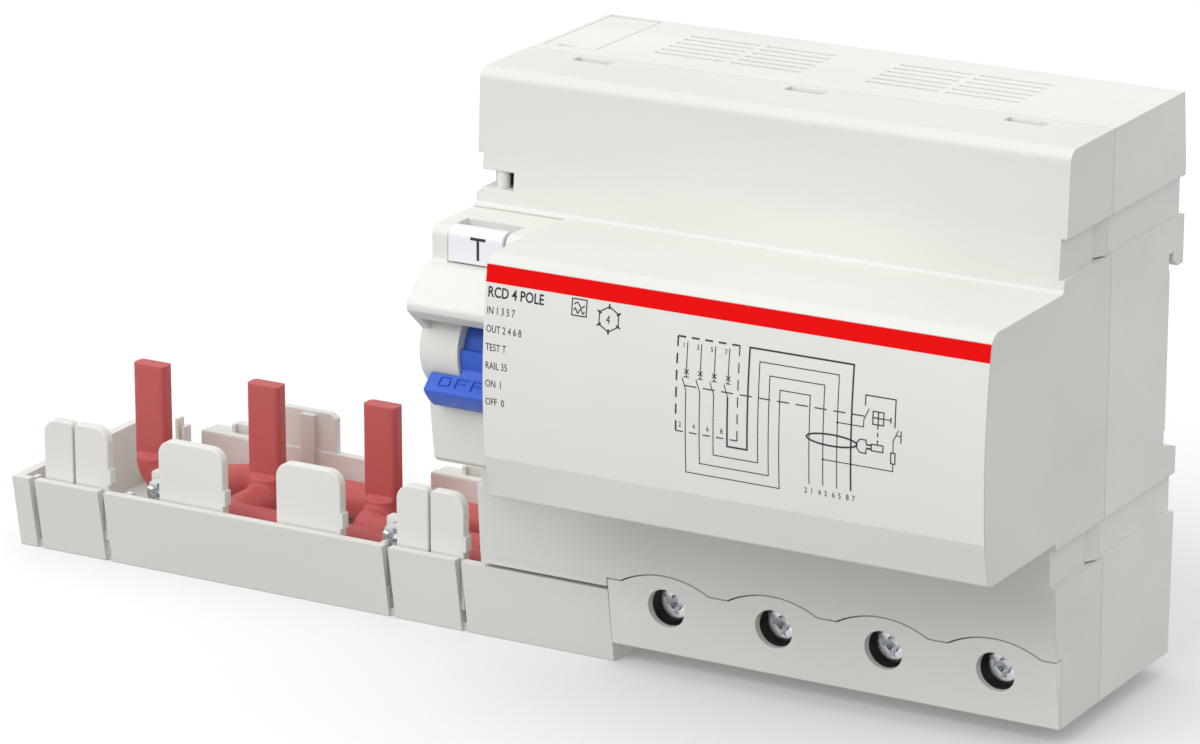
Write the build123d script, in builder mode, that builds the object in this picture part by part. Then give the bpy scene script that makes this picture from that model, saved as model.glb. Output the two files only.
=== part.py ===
"""Four-pole residual current block for rail mounting, with a connection tray on its left.

Frame, in millimetres: X to the right along the rail, Y away from the viewer, Z up.  The origin is
on the plane where the block seats on its rail, half way up the rail and at the block's mid width.
"""
import os
from math import cos, hypot, radians, sin

from build123d import *

os.makedirs("parts", exist_ok=True)

# ---------------------------------------------------------------- driving dimensions: the block
block_width = 116.6
block_height = 105.0
rail_above_base = 58.5          # rail centre line above the underside of the block
front_depth = 44.6              # rail seat to the front shell
rear_depth = 5.0                # how far the hooks reach behind the rail seat
seam_depth = 25.0               # rail seat to the joint between the two housings
wall = 2.0
seat_wall = 1.6                 # wall between the inside and the rail seat
corner = 2.2
seam_gap = 0.1                  # free gap between shells that only touch
run_gap = 0.35                  # free gap around anything that moves

# the rail the block hangs on
rail_width = 35.0
rail_lip = 1.0
rail_slack = 0.3
hook_reach = 2.6                # how far the upper hook stands behind the rail's upper lip
seat_relief = 0.5               # the seat steps back beside the hook and the latches
seat_margin = 0.2

# front window (nose)
window_height = 44.8
window_base = 35.4              # above the underside of the block
nose_depth = 29.7               # how far the window stands out of the front shell
nose_bulge = 1.3
nose_width = 97.7
nose_corner = 3.5
label_thickness = 0.3
label_base = 8.3                # above the window's lower edge

# side grooves, one high and one low, on both sides
groove_bands = ((26.9, 34.2), (82.4, 89.6))
groove_depth = 1.1

# terminal cover and the four output terminals
cover_width = 89.8
cover_height = 13.0
scallop_rise = 2.5
scallop_width = 18.0
cover_gap = 0.22
terminal_pitch = 22.0
terminal_height = 9.2
screw_hole_radius = 3.75
screw_head_radius = 3.5
screw_head_height = 3.0
screw_recess = 4.0
screw_radius = 2.45
thread_gap = 0.05
clamp_width = 15.0
clamp_height = 10.0
clamp_wall = 3.0
clamp_opening = 14.5
busbar_thickness = 2.0
busbar_width = 9.0

# connection tray
tray_length = 132.3
tray_height = 14.5
tray_drop = 3.8                 # below the underside of the block
tray_lean = 2.4                 # the front wall leans back towards its foot
tray_depth = 44.0
tray_wall = 1.9
tray_floor = 1.5
tray_gap = 0.8                  # between the tray and the block above it
pole_pitch = 26.5
first_pole = 12.5               # from the tray's left end
shield_thickness = 2.0
shield_gap = 0.4
shield_ear = 0.5                # small step on the right edge
shield_top = 26.5               # above the tray's underside
shield_corner = 3.0
shield_inner_corner = 0.9       # between the two shields of a pair
shield_foot = 4.0               # the shields stand this high above the tray's underside
shield_socket = 3.0
slot_width = 1.3

# conductors
lead_radius = 3.6
stub_width = 7.3
stub_thickness = 3.4
stub_corner = 1.0
stub_top = 27.2                 # above the underside of the block
stub_foot = 9.2
lead_height = 3.8               # axis of the leads in the tray, above the underside of the block
lead_bend = 4.3
lead_gap = 0.2

# current transformer
core_inner = 10.0
core_outer = 13.6
core_length = 12.0
winding_thickness = 1.2

# toggle module
module_wall = 1.5
toggle_out = 11.1               # toggle axis in front of the front shell
toggle_drop = 0.7               # toggle axis below the rail's centre line
drum_radius = 7.65
collar_radius = 8.4
collar_width = 7.85
toggle_shaft_radius = 1.6
shaft_gap = 0.05
handle_reach = 12.45
handle_upper = 26.3             # the handle's upper face, in degrees below level at rest
handle_lower = 57.0
button_width = 11.2
button_height = 6.25
button_depth = 2.8

# rail latches
latch_width = 14.0
latch_thickness = 2.4
latch_offset = 30.0
latch_hold = 2.4                # how far the latch stands behind the rail's lower lip

# access cover
lid_width = 10.4
lid_length = 24.9
lid_thickness = 1.6
lid_pin_radius = 0.5

# vents
vent_length = 14.2
vent_width = 0.8
vent_pitch = 2.74
vent_rows = 6
vent_columns = (-29.6, -13.9, 13.3, 29.1)
vent_middle = -10.2

# ---------------------------------------------------------------- places worked out from them
half_width = block_width / 2
base_z = -rail_above_base
top_z = base_z + block_height
front_y = -front_depth
rear_y = rear_depth
seam_y = -seam_depth
window_z = base_z + window_base
window_top_z = window_z + window_height
nose_left = half_width - nose_width
nose_y = front_y - 0.3
rail_low_z = -rail_width / 2
rail_high_z = rail_width / 2
seat_low_z = rail_low_z + latch_hold + seat_margin
seat_high_z = rail_high_z - hook_reach - seat_margin
tray_top_z = base_z - tray_drop + tray_height
tray_z = base_z - tray_drop
notch_z = tray_top_z + tray_gap
cover_left = half_width - cover_width
tray_right = cover_left - seam_gap * 2
tray_left = tray_right - tray_length
tray_front = front_y + 1.5
terminal_z = base_z + terminal_height
terminal_xs = [half_width - cover_width / 2 + (i - 1.5) * terminal_pitch for i in range(4)]
pole_xs = [tray_left + first_pole + i * pole_pitch for i in range(4)]
lead_z = base_z + lead_height
lead_spacing = 2 * lead_radius + lead_gap
rear_lane = -seat_wall - lead_radius - 0.1
lead_front = rear_lane - 3 * lead_spacing - lead_radius - 0.7
riser_x = cover_left - 14.8
riser_room = 2 * lead_radius + 1.0


def up(height):
    """Z of a height measured from the underside of the block."""
    return base_z + height


def slab(x0, x1, y0, y1, z0, z1, mode=Mode.ADD):
    """Box between two corners, added to or cut from the part being built."""
    middle = ((x0 + x1) / 2, (y0 + y1) / 2, (z0 + z1) / 2)
    with Locations(middle):
        Box(x1 - x0, y1 - y0, z1 - z0, mode=mode)


def side_plane(x):
    """Plane across the rail at x, whose sketch axes are Y and Z."""
    return Plane(origin=(x, 0, 0), x_dir=(0, 1, 0), z_dir=(1, 0, 0))


def front_plane(y):
    """Plane facing the viewer at y, whose sketch axes are X and Z."""
    return Plane(origin=(0, y, 0), x_dir=(1, 0, 0), z_dir=(0, -1, 0))


def save(made, label):
    """Name a finished piece and write it."""
    made.part.label = label
    export_step(made.part, f"parts/{label}.step")


# ================================================================ rear housing
rear_outline = [
    (seam_y, base_z),
    (rear_y - 0.6, base_z),
    (rear_y, up(26)),
    (rear_y, rail_low_z - rail_slack - 1.5),
    (-seat_relief, rail_low_z - rail_slack),
    (-seat_relief, seat_low_z),
    (0, seat_low_z),
    (0, seat_high_z),
    (-seat_relief, seat_high_z),
    (-seat_relief, rail_high_z + rail_slack),
    (rail_lip + rail_slack, rail_high_z + rail_slack),
    (rail_lip + rail_slack, rail_high_z - hook_reach / 2),
    (rail_lip + 2.2, rail_high_z - hook_reach),
    (rear_y + 0.6, rail_high_z - hook_reach),
    (rear_y + 0.6, up(92)),
    (rear_y - 0.8, top_z),
    (seam_y, top_z),
]
latch_xs = (-latch_offset, latch_offset)
latch_y = rail_lip + rail_slack
latch_slot_rear = latch_y + latch_thickness + run_gap
peg_z = up(9.5)
peg_half = 1.3
lid_left = -half_width + 1.1
lid_gap = 0.15
lid_shelf = 0.9                 # ledge that carries the access cover
lid_right = lid_left + lid_width
lid_rear = 3.6
lid_front = lid_rear - lid_length
lid_pin_y = lid_rear - 1.1
lid_pin_z = top_z - lid_thickness / 2
well_depth = 11.0
wire_x = clamp_width / 2 - clamp_wall / 2 - 0.5

clip_y = (seam_y - 4.5, seam_y - 2.0)
side_clip_y = (seam_y - 5.5, seam_y - 1.3)
tongue_thickness = 1.2
tongue_gap = 0.25
tongue_root = 3.0               # how far the tongues reach behind the joint
roof_tongue = 1.6
clip_pitch = 43.0
clip_xs = (-clip_pitch, 0, clip_pitch)
clip_width = 7.6

with BuildPart() as rear_housing:
    with BuildSketch(side_plane(-half_width)):
        with BuildLine():
            Polyline(rear_outline, close=True)
        make_face()
    extrude(amount=block_width)
    # hollow inside, open towards the front shell
    slab(-half_width + wall, half_width - wall, seam_y, -seat_wall, base_z + wall, top_z - wall,
         mode=Mode.SUBTRACT)
    # the tray runs under the left end
    slab(-half_width - 1, cover_left, seam_y - 1, rear_y + 1, base_z - 1, notch_z,
         mode=Mode.SUBTRACT)
    slab(-half_width, cover_left + wall, seam_y, 0, notch_z, notch_z + wall)
    slab(cover_left, cover_left + wall, seam_y, -seat_wall, base_z, notch_z + wall)
    # the four leads come up through the floor above the tray
    slab(riser_x - riser_room, riser_x + riser_room, seam_y, -seat_wall, notch_z - 1,
         notch_z + wall + 1, mode=Mode.SUBTRACT)
    # side grooves
    for low, high in groove_bands:
        for side in (-1, 1):
            edge = side * half_width
            inner = edge - side * groove_depth
            slab(min(edge, inner), max(edge, inner), seam_y, rear_y + 1, up(low), up(high),
                 mode=Mode.SUBTRACT)
    # latch channels in the lower ear
    for x in latch_xs:
        slab(x - latch_width / 2 - run_gap, x + latch_width / 2 + run_gap, latch_y - run_gap,
             latch_slot_rear, base_z - 1, rail_low_z + 1, mode=Mode.SUBTRACT)
        slab(x - peg_half, x + peg_half, latch_y - run_gap, latch_slot_rear, peg_z - 1, peg_z + 1)
    # ventilation slots in the roof
    for x in vent_columns:
        with Locations((x, vent_middle, top_z - wall / 2)):
            with GridLocations(0, vent_pitch, 1, vent_rows):
                Box(vent_length, vent_width, wall + 1, mode=Mode.SUBTRACT)
    # well under the access cover, with the knuckle's hollow behind it
    slab(lid_left - lid_gap, lid_right + lid_gap, lid_front - lid_gap, lid_pin_y, top_z - lid_thickness - 0.2,
         top_z + 1, mode=Mode.SUBTRACT)
    slab(lid_left + lid_shelf, lid_right - lid_shelf, lid_front + 1, -wall, top_z - well_depth, top_z,
         mode=Mode.SUBTRACT)
    with Locations(Location((lid_left + lid_width / 2, lid_pin_y, lid_pin_z), (0, 90, 0))):
        Cylinder(lid_thickness / 2 + run_gap + 0.05, lid_width + 2 * lid_gap, mode=Mode.SUBTRACT)
    slab(lid_left - lid_gap, lid_right + lid_gap, lid_pin_y - 0.1, lid_rear, lid_pin_z, top_z + 1,
         mode=Mode.SUBTRACT)
    with Locations(Location((lid_left + lid_width / 2, lid_pin_y, lid_pin_z), (0, 90, 0))):
        Cylinder(lid_pin_radius, lid_width + 1.6, mode=Mode.SUBTRACT)
    # wire entries below the output terminals
    for x in terminal_xs:
        slab(x - wire_x, x + wire_x, seam_y + 3.2, -14, base_z - 1, base_z + wall + 1,
             mode=Mode.SUBTRACT)
    # snap tongues that hold the front shell
    for x in clip_xs:
        slab(x - clip_width / 2, x + clip_width / 2, clip_y[0] - 1.5, seam_y + tongue_root,
             top_z - wall - roof_tongue, top_z - wall - seam_gap)
        slab(x - clip_width / 2, x + clip_width / 2, seam_y, seam_y + tongue_root,
             top_z - wall - roof_tongue, top_z - wall / 2)
        slab(x - clip_width / 2 + 0.6, x + clip_width / 2 - 0.6, clip_y[0] + 0.4, clip_y[1] - 0.2,
             top_z - wall - seam_gap, top_z - 0.7)
    # snap tongues in the side grooves, each with a ramp that fills its window
    for low, high in groove_bands:
        for side in (-1, 1):
            skin = side * (half_width - wall - seam_gap)
            arm = skin - side * tongue_thickness
            slab(min(skin, arm), max(skin, arm), side_clip_y[0], seam_y + tongue_root, up(low) + tongue_gap,
                 up(high) - tongue_gap)
            root = side * (half_width - groove_depth)
            slab(min(arm, root), max(arm, root), seam_y + 0.5, seam_y + tongue_root,
                 up(low) + tongue_gap, up(high) - tongue_gap)
            with BuildSketch(Plane.XY.offset(up(low) + tongue_gap)):
                with BuildLine():
                    Polyline([(arm, side_clip_y[0] + tongue_gap), (skin, side_clip_y[0] + tongue_gap),
                              (side * (half_width - 0.2), side_clip_y[1] - tongue_gap),
                              (arm, side_clip_y[1] - tongue_gap)], close=True)
                make_face()
            extrude(amount=up(high) - up(low) - 2 * tongue_gap)
save(rear_housing, "rear_housing")

# ================================================================ front housing
front_outline = [
    (seam_y - seam_gap, base_z),
    (front_y + 3.0, base_z),
    (front_y + 1.0, up(13.6)),
    (front_y, up(26.5)),
    (front_y - 0.3, window_z),
    (front_y - 0.3, window_top_z - 0.1),
    (front_y + 0.5, window_top_z + 0.5),
    (front_y + 1.3, up(89.6)),
    (front_y + 2.1, top_z),
    (seam_y - seam_gap, top_z),
]
nose_tip = nose_y - nose_depth + 2.0
nose_front = [
    (nose_tip + 0.6, window_top_z - 1.6),
    (nose_tip - nose_bulge, up(55)),
    (nose_tip - 0.7, window_z + label_base),
]
cover_back = front_y + 3.4
module_right = nose_left - seam_gap
module_left = -half_width
module_low = window_z + 0.2
module_high = window_top_z - 0.35
core_z = up(47.15)
spring_seat = front_y + 3.0
notch_low, notch_high = up(83.3), up(86.65)
notch_right = -half_width + 7.55
notch_depth = 5.5
post_radius = 1.2
post_x = -half_width + 4.6
post_y = front_y + 1.2 + post_radius
cover_top = up(cover_height)


def cover_outline(grow):
    """Front view of the terminal cover, with a lobe over each screw, grown by a free gap."""
    top = cover_top + grow
    with BuildLine() as outline:
        last = (half_width + grow, top)
        Line((half_width + grow, base_z - grow), last)
        for lobe_x in reversed(terminal_xs):
            right = (lobe_x + scallop_width / 2 + grow, top)
            left = (lobe_x - scallop_width / 2 - grow, top)
            Line(last, right)
            ThreePointArc(right, (lobe_x, top + scallop_rise), left)
            last = left
        Polyline([last, (cover_left - grow, top), (cover_left - grow, base_z - grow),
                  (half_width + grow, base_z - grow)])
    return outline.edges()


cover_edges = cover_outline(0)
cover_cut_edges = cover_outline(cover_gap)

with BuildPart() as front_housing:
    with BuildSketch(side_plane(-half_width)):
        with BuildLine():
            Polyline(front_outline, close=True)
        make_face()
    extrude(amount=block_width)
    with BuildSketch(side_plane(nose_left)):
        with BuildLine():
            Polyline([(nose_y + 1, window_z), (nose_tip + 2.2, window_z)])
            FilletPolyline([(nose_tip + 2.2, window_z), (nose_tip + 0.9, window_z + 0.4),
                            nose_front[2]], radius=0.6)
            ThreePointArc(*reversed(nose_front))
            ThreePointArc(nose_front[0], (nose_tip + 1.5, window_top_z - 0.55),
                          (nose_tip + nose_corner, window_top_z))
            Polyline([(nose_tip + nose_corner, window_top_z), (nose_y + 1, window_top_z),
                      (nose_y + 1, window_z)])
        make_face()
    extrude(amount=nose_width)
    front_edges = front_housing.edges().filter_by(Axis.X).group_by(Axis.Z)[-1].sort_by(Axis.Y)
    fillet(front_edges[0], corner)
    # hollow body and hollow nose, open towards the rear shell
    slab(-half_width + wall, half_width - wall, front_y + wall + 2.2, seam_y, base_z + wall,
         top_z - wall, mode=Mode.SUBTRACT)
    slab(nose_left + wall, half_width - wall, nose_tip + wall + 1, seam_y, window_z + wall,
         window_top_z - wall, mode=Mode.SUBTRACT)
    # tray notch at the lower left
    slab(-half_width - 1, cover_left, nose_y - 1, seam_y, base_z - 1, notch_z,
         mode=Mode.SUBTRACT)
    slab(-half_width, cover_left + wall, front_y + 1.2, seam_y - seam_gap, notch_z,
         notch_z + wall)
    slab(cover_left, cover_left + wall, front_y + 3.4, seam_y - seam_gap, base_z,
         notch_z + wall)
    slab(riser_x - riser_room, riser_x + riser_room, lead_front, seam_y, notch_z - 1,
         notch_z + wall + 1, mode=Mode.SUBTRACT)
    # opening behind the toggle module
    slab(module_left + module_wall, module_right - module_wall, front_y - 1, seam_y,
         module_low + wall, module_high - wall, mode=Mode.SUBTRACT)
    # bridge that the test button's spring pushes against
    slab(module_left + 1, module_right - 1, spring_seat, front_y + wall + 2.2, up(72.5),
         module_high - 1)
    # side grooves
    for low, high in groove_bands:
        for side in (-1, 1):
            edge = side * half_width
            inner = edge - side * groove_depth
            slab(min(edge, inner), max(edge, inner), front_y - 1, seam_y, up(low), up(high),
                 mode=Mode.SUBTRACT)
            slab(min(edge, edge - side * (wall + 1)), max(edge, edge - side * (wall + 1)),
                 side_clip_y[0], side_clip_y[1], up(low), up(high), mode=Mode.SUBTRACT)
    # snap windows in the roof
    for x in clip_xs:
        slab(x - clip_width / 2, x + clip_width / 2, clip_y[0], clip_y[1], top_z - wall - 1,
             top_z + 1, mode=Mode.SUBTRACT)
    # sealing notch, open to the left
    slab(-half_width - 1, notch_right, front_y - 1, front_y + notch_depth, notch_low, notch_high,
         mode=Mode.SUBTRACT)
    # recess for the terminal cover, and the access holes behind it
    with BuildSketch(front_plane(cover_back + 0.1)):
        make_face(cover_cut_edges)
    extrude(amount=6, mode=Mode.SUBTRACT)
    for x in terminal_xs:
        with Locations(Location((x, front_y + 4, terminal_z), (90, 0, 0))):
            Cylinder(screw_hole_radius + 1.4, 6, mode=Mode.SUBTRACT)
    # recess for the label
    with BuildSketch(side_plane(nose_left)):
        with BuildLine():
            Polyline([nose_front[0], (nose_tip - 3, nose_front[0][1]),
                      (nose_tip - 3, nose_front[2][1]), nose_front[2]])
            Polyline([nose_front[0], (nose_front[0][0] + label_thickness, nose_front[0][1])])
            ThreePointArc(*[(y + label_thickness, z) for y, z in nose_front])
            Polyline([(nose_front[2][0] + label_thickness, nose_front[2][1]), nose_front[2]])
        make_face()
    extrude(amount=nose_width, mode=Mode.SUBTRACT)
save(front_housing, "front_housing")

with BuildPart() as label_sheet:
    with BuildSketch(side_plane(nose_left + 0.05)):
        with BuildLine():
            ThreePointArc(*nose_front)
            Polyline([nose_front[2], (nose_front[2][0] + label_thickness, nose_front[2][1])])
            ThreePointArc(*[(y + label_thickness, z) for y, z in reversed(nose_front)])
            Polyline([(nose_front[0][0] + label_thickness, nose_front[0][1]), nose_front[0]])
        make_face()
    extrude(amount=nose_width - 0.1)
save(label_sheet, "label_sheet")

# ================================================================ toggle module
module_front = front_y - 15.6
brow_front = module_front + 0.8  # the block round the test button stands a little further back
hood_tip = module_front - 8.4
toggle_y = front_y - toggle_out
toggle_z = -toggle_drop
module_back = front_y - run_gap
back_gap = 0.35                 # dark joint between the module's top and the shell above it
hood_curve = [(brow_front, up(74.0)), (module_front - 0.8, up(73.3)), (module_front - 3.0, up(72.1)),
              (module_front - 5.2, up(70.65)), (module_front - 7.0, up(68.6)), (hood_tip + 0.3, up(67.0))]
hood_under = [(hood_tip + 0.3, up(67.0)), (hood_tip + 0.35, up(66.4)), (hood_tip + 0.85, up(65.8)),
              (module_front - 1.8, up(60.8)), (module_front - 0.5, up(46.6)),
              (module_front + 0.8, module_low + 0.9), (module_front + 1.8, module_low),
              (module_back, module_low), (module_back, module_high - 1.4),
              (module_back - back_gap, module_high - 1.4), (module_back - back_gap, module_high),
              (brow_front + 2.2, module_high)]
hood_inner = up(64.6)
window_low = up(47.1)
collar_right = module_left + collar_width
drum_left = collar_right + 0.2
drum_right = module_right - module_wall - 0.3
bar_left = module_left + module_wall + run_gap
button_left = module_left + 3.5
button_right = button_left + button_width
button_front = brow_front - 0.4
button_top = window_top_z - 0.1
button_low = button_top - button_height
button_back = button_front + button_depth
pocket_back = module_front + 7.9
stem_radius = 1.8
stem_x = (button_left + button_right) / 2
stem_z = button_low + stem_radius + 0.1
stem_end = module_front + 11.0
spring_wire = 0.35

with BuildPart() as toggle_housing:
    with BuildSketch(side_plane(module_left)):
        with BuildLine():
            Spline(*hood_curve, tangents=[(0, -1), (0.1, -1)])
            Polyline(hood_under)
            ThreePointArc(hood_under[-1], (brow_front + 0.65, module_high - 0.5),
                          (brow_front, module_high - 2.0))
            Line((brow_front, module_high - 2.0), hood_curve[0])
        make_face()
    extrude(amount=module_right - module_left)
    # window for the toggle, open to the front and the back
    with BuildSketch(side_plane(module_left + module_wall)):
        with BuildLine():
            Polyline([(toggle_y, window_low), (hood_tip - 2, window_low), (hood_tip - 2, up(64.2)),
                      (hood_tip + 3.4, hood_inner), (toggle_y, up(66))], close=True)
        make_face()
    extrude(amount=module_right - module_left - 2 * module_wall, mode=Mode.SUBTRACT)
    slab(module_left + module_wall, module_right - module_wall, module_front + 2, module_back + 1,
         module_low + wall, up(70.0), mode=Mode.SUBTRACT)
    # pocket for the test button, open at the front and the top
    slab(button_left - run_gap, button_right + run_gap, module_front - 1, pocket_back,
         button_low - run_gap, module_high + 1,
         mode=Mode.SUBTRACT)
    slab(button_left - run_gap, button_right + run_gap, stem_end - 1.6, module_back + 1,
         button_low - run_gap, module_high - wall, mode=Mode.SUBTRACT)
    with Locations(Location((stem_x, stem_end - 4, stem_z), (90, 0, 0))):
        Cylinder(stem_radius + run_gap, 20, mode=Mode.SUBTRACT)
    # round collar on the left wall, which the handle's bar slides around
    with Locations(Location(((module_left + collar_right) / 2, toggle_y, toggle_z), (0, 90, 0))):
        Cylinder(collar_radius, collar_width)
    # bores that carry the toggle shaft
    with Locations(Location(((module_left + module_right) / 2, toggle_y, toggle_z), (0, 90, 0))):
        Cylinder(toggle_shaft_radius, module_right - module_left - module_wall, mode=Mode.SUBTRACT)
save(toggle_housing, "toggle_housing")

with BuildPart() as toggle_shaft:
    with Locations(Location(((module_left + module_right) / 2, toggle_y, toggle_z), (0, 90, 0))):
        Cylinder(toggle_shaft_radius, module_right - module_left - module_wall - 0.1)
save(toggle_shaft, "toggle_shaft")


def around(radius, angle):
    """Y and Z of a point around the toggle's axis, the angle in degrees below level."""
    return (toggle_y - radius * cos(radians(angle)), toggle_z - radius * sin(radians(angle)))


# the handle points forward and down at rest; its upper face is flat and its outer face is round
collar_clear = collar_radius + run_gap
tip_angle = handle_upper + 4.7
face_angle = (tip_angle + handle_lower) / 2
inner_angle = (handle_upper + handle_lower) / 2
drum_root = 5.0
drum_step = 1.4                 # the drum is lower above the handle
step_from, step_to = -8, -80    # degrees below level
tip = around(handle_reach, tip_angle)
face_foot = around(collar_clear, handle_upper)
face_length = hypot(face_foot[0] - tip[0], face_foot[1] - tip[1])
face_up = ((face_foot[0] - tip[0]) / face_length, (face_foot[1] - tip[1]) / face_length)
letter_width = 2.45
letter_height = 2.1
letter_pitch = 3.35
letter_stroke = 0.38
letter_depth = 0.3
letters_left = bar_left + 2.6
letters_low = 1.2

with BuildPart() as toggle_lever:
    # drum, stepped back above the handle
    with Locations(Location(((drum_left + drum_right) / 2, toggle_y, toggle_z), (0, 90, 0))):
        Cylinder(drum_radius, drum_right - drum_left)
    with BuildSketch(side_plane(drum_left)):
        with BuildLine():
            step = [around(drum_radius - drum_step, step_from), around(drum_radius + 2, step_from),
                    around(drum_radius + 2, step_to), around(drum_radius - drum_step, step_to)]
            Polyline(step)
            step_middle = (step_from + step_to) / 2
            ThreePointArc(step[3], around(drum_radius - drum_step, step_middle), step[0])
        make_face()
    extrude(amount=drum_right - drum_left, mode=Mode.SUBTRACT)
    # web between the drum and the bar
    with BuildSketch(side_plane(drum_left)):
        with BuildLine():
            Polyline([around(drum_root, handle_upper - 14), around(drum_radius, handle_upper - 6),
                      face_foot, tip])
            ThreePointArc(tip, around(handle_reach, face_angle), around(handle_reach, handle_lower - 2))
            Polyline([around(handle_reach, handle_lower - 2), around(collar_clear, handle_lower),
                      around(drum_root, handle_lower + 5), around(drum_root, handle_upper - 14)])
        make_face()
    extrude(amount=drum_right - drum_left)
    # bar that passes in front of the collar
    with BuildSketch(side_plane(bar_left)):
        with BuildLine():
            Line(face_foot, tip)
            ThreePointArc(tip, around(handle_reach, face_angle), around(handle_reach, handle_lower - 2))
            Line(around(handle_reach, handle_lower - 2), around(collar_clear, handle_lower))
            ThreePointArc(around(collar_clear, handle_lower), around(collar_clear, inner_angle),
                          face_foot)
        make_face()
    extrude(amount=drum_left - bar_left + 0.5)
    fillet(toggle_lever.edges().filter_by(Axis.X).filter_by_position(Axis.Y, tip[0] - 0.01, tip[0] + 0.01),
           0.6)
    fillet(toggle_lever.faces().sort_by(Axis.X)[0].outer_wire().edges(), 0.4)
    # word engraved in the handle's upper face
    with BuildSketch(Plane(origin=(letters_left, tip[0], tip[1]), x_dir=(1, 0, 0),
                           z_dir=(0, -face_up[1], face_up[0]))):
        middle = letters_low + letter_height / 2
        with Locations((letter_width / 2, middle)):
            RectangleRounded(letter_width, letter_height, 0.6)
            RectangleRounded(letter_width - 2 * letter_stroke, letter_height - 2 * letter_stroke, 0.3,
                             mode=Mode.SUBTRACT)
        for place in (1, 2):
            stem = place * letter_pitch
            with Locations((stem + letter_stroke / 2, middle)):
                Rectangle(letter_stroke, letter_height)
            with Locations((stem + letter_width / 2, letters_low + letter_height - letter_stroke / 2)):
                Rectangle(letter_width, letter_stroke)
            with Locations((stem + letter_width * 0.42, middle)):
                Rectangle(letter_width * 0.84, letter_stroke)
    extrude(amount=-letter_depth, mode=Mode.SUBTRACT)
    # bore for the shaft
    with Locations(Location(((drum_left + drum_right) / 2, toggle_y, toggle_z), (0, 90, 0))):
        Cylinder(toggle_shaft_radius + shaft_gap, drum_right - drum_left + 1, mode=Mode.SUBTRACT)
save(toggle_lever, "toggle_lever")

with BuildPart() as test_button:
    slab(button_left, button_right, button_front, button_back, button_low, button_top)
    crown = test_button.edges().filter_by(Axis.X).group_by(Axis.Z)[-1].sort_by(Axis.Y)[0]
    fillet(crown, 1.8)
    with Locations(Location((stem_x, (button_back + stem_end) / 2, stem_z), (90, 0, 0))):
        Cylinder(stem_radius, stem_end - button_back)
save(test_button, "test_button")


def coil(label, base, direction, radius, wire, length, turns):
    """Compression spring as a round wire on a helix."""
    with BuildPart() as spring:
        with BuildLine() as path:
            Helix(pitch=length / turns, height=length, radius=radius, center=base,
                  direction=direction)
        with BuildSketch(Plane(origin=path.line @ 0, z_dir=path.line % 0)):
            Circle(wire)
        sweep(is_frenet=True)
    save(spring, label)


spring_gap = 0.15
spring_start = stem_end + spring_gap + spring_wire
coil("test_spring", (stem_x, spring_start, stem_z), (0, 1, 0), 1.3, spring_wire,
     spring_seat - spring_gap - spring_wire - spring_start, 5)

# ================================================================ terminal cover and terminals
cover_profile = [(front_y + 3.0, base_z), (front_y + 1.0, up(13.6)), (front_y + 0.8, up(16.2)),
                 (cover_back, up(16.2)), (cover_back, base_z)]
with BuildPart() as terminal_cover:
    with BuildSketch(side_plane(cover_left)):
        with BuildLine():
            Polyline(cover_profile, close=True)
        make_face()
    extrude(amount=cover_width)
    cover_foot = terminal_cover.edges().filter_by(Axis.X).group_by(Axis.Z)[0].sort_by(Axis.Y)[0]
    fillet(cover_foot, 0.35)
    # lobed upper edge
    with BuildSketch(front_plane(cover_back + 1)):
        make_face(cover_edges)
    extrude(amount=8, mode=Mode.INTERSECT)
    for x in terminal_xs:
        with Locations(Location((x, front_y + 4, terminal_z), (90, 0, 0))):
            Cylinder(screw_hole_radius, 12, mode=Mode.SUBTRACT)
save(terminal_cover, "terminal_cover")

head_y = front_y + 1.3 + screw_recess
head_back = head_y + screw_head_height
bus_front = seam_y + 0.2
clamp_front = bus_front - 1.4 - clamp_wall
recess_width = 0.95
recess_reach = 1.3              # length of the cross against the head's radius
slot_angle = 25


def driver_recess(x, y, z, radius, depth):
    """Combined slot and cross recess cut into a screw head that faces the viewer."""
    arm = radius * recess_reach
    slab(x - arm / 2, x + arm / 2, y - 0.1, y + depth, z - recess_width / 2, z + recess_width / 2,
         mode=Mode.SUBTRACT)
    slab(x - recess_width / 2, x + recess_width / 2, y - 0.1, y + depth, z - arm / 2, z + arm / 2,
         mode=Mode.SUBTRACT)
    with Locations(Location((x, y + depth / 2, z), (90, 0, 0))):
        Cone(radius * 0.22, radius * 0.42, depth + 0.01, mode=Mode.SUBTRACT)
    with Locations(Location((x, y, z), (0, slot_angle, 0))):
        Box(radius * 2.2, 0.9, 0.7, mode=Mode.SUBTRACT)


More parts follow.
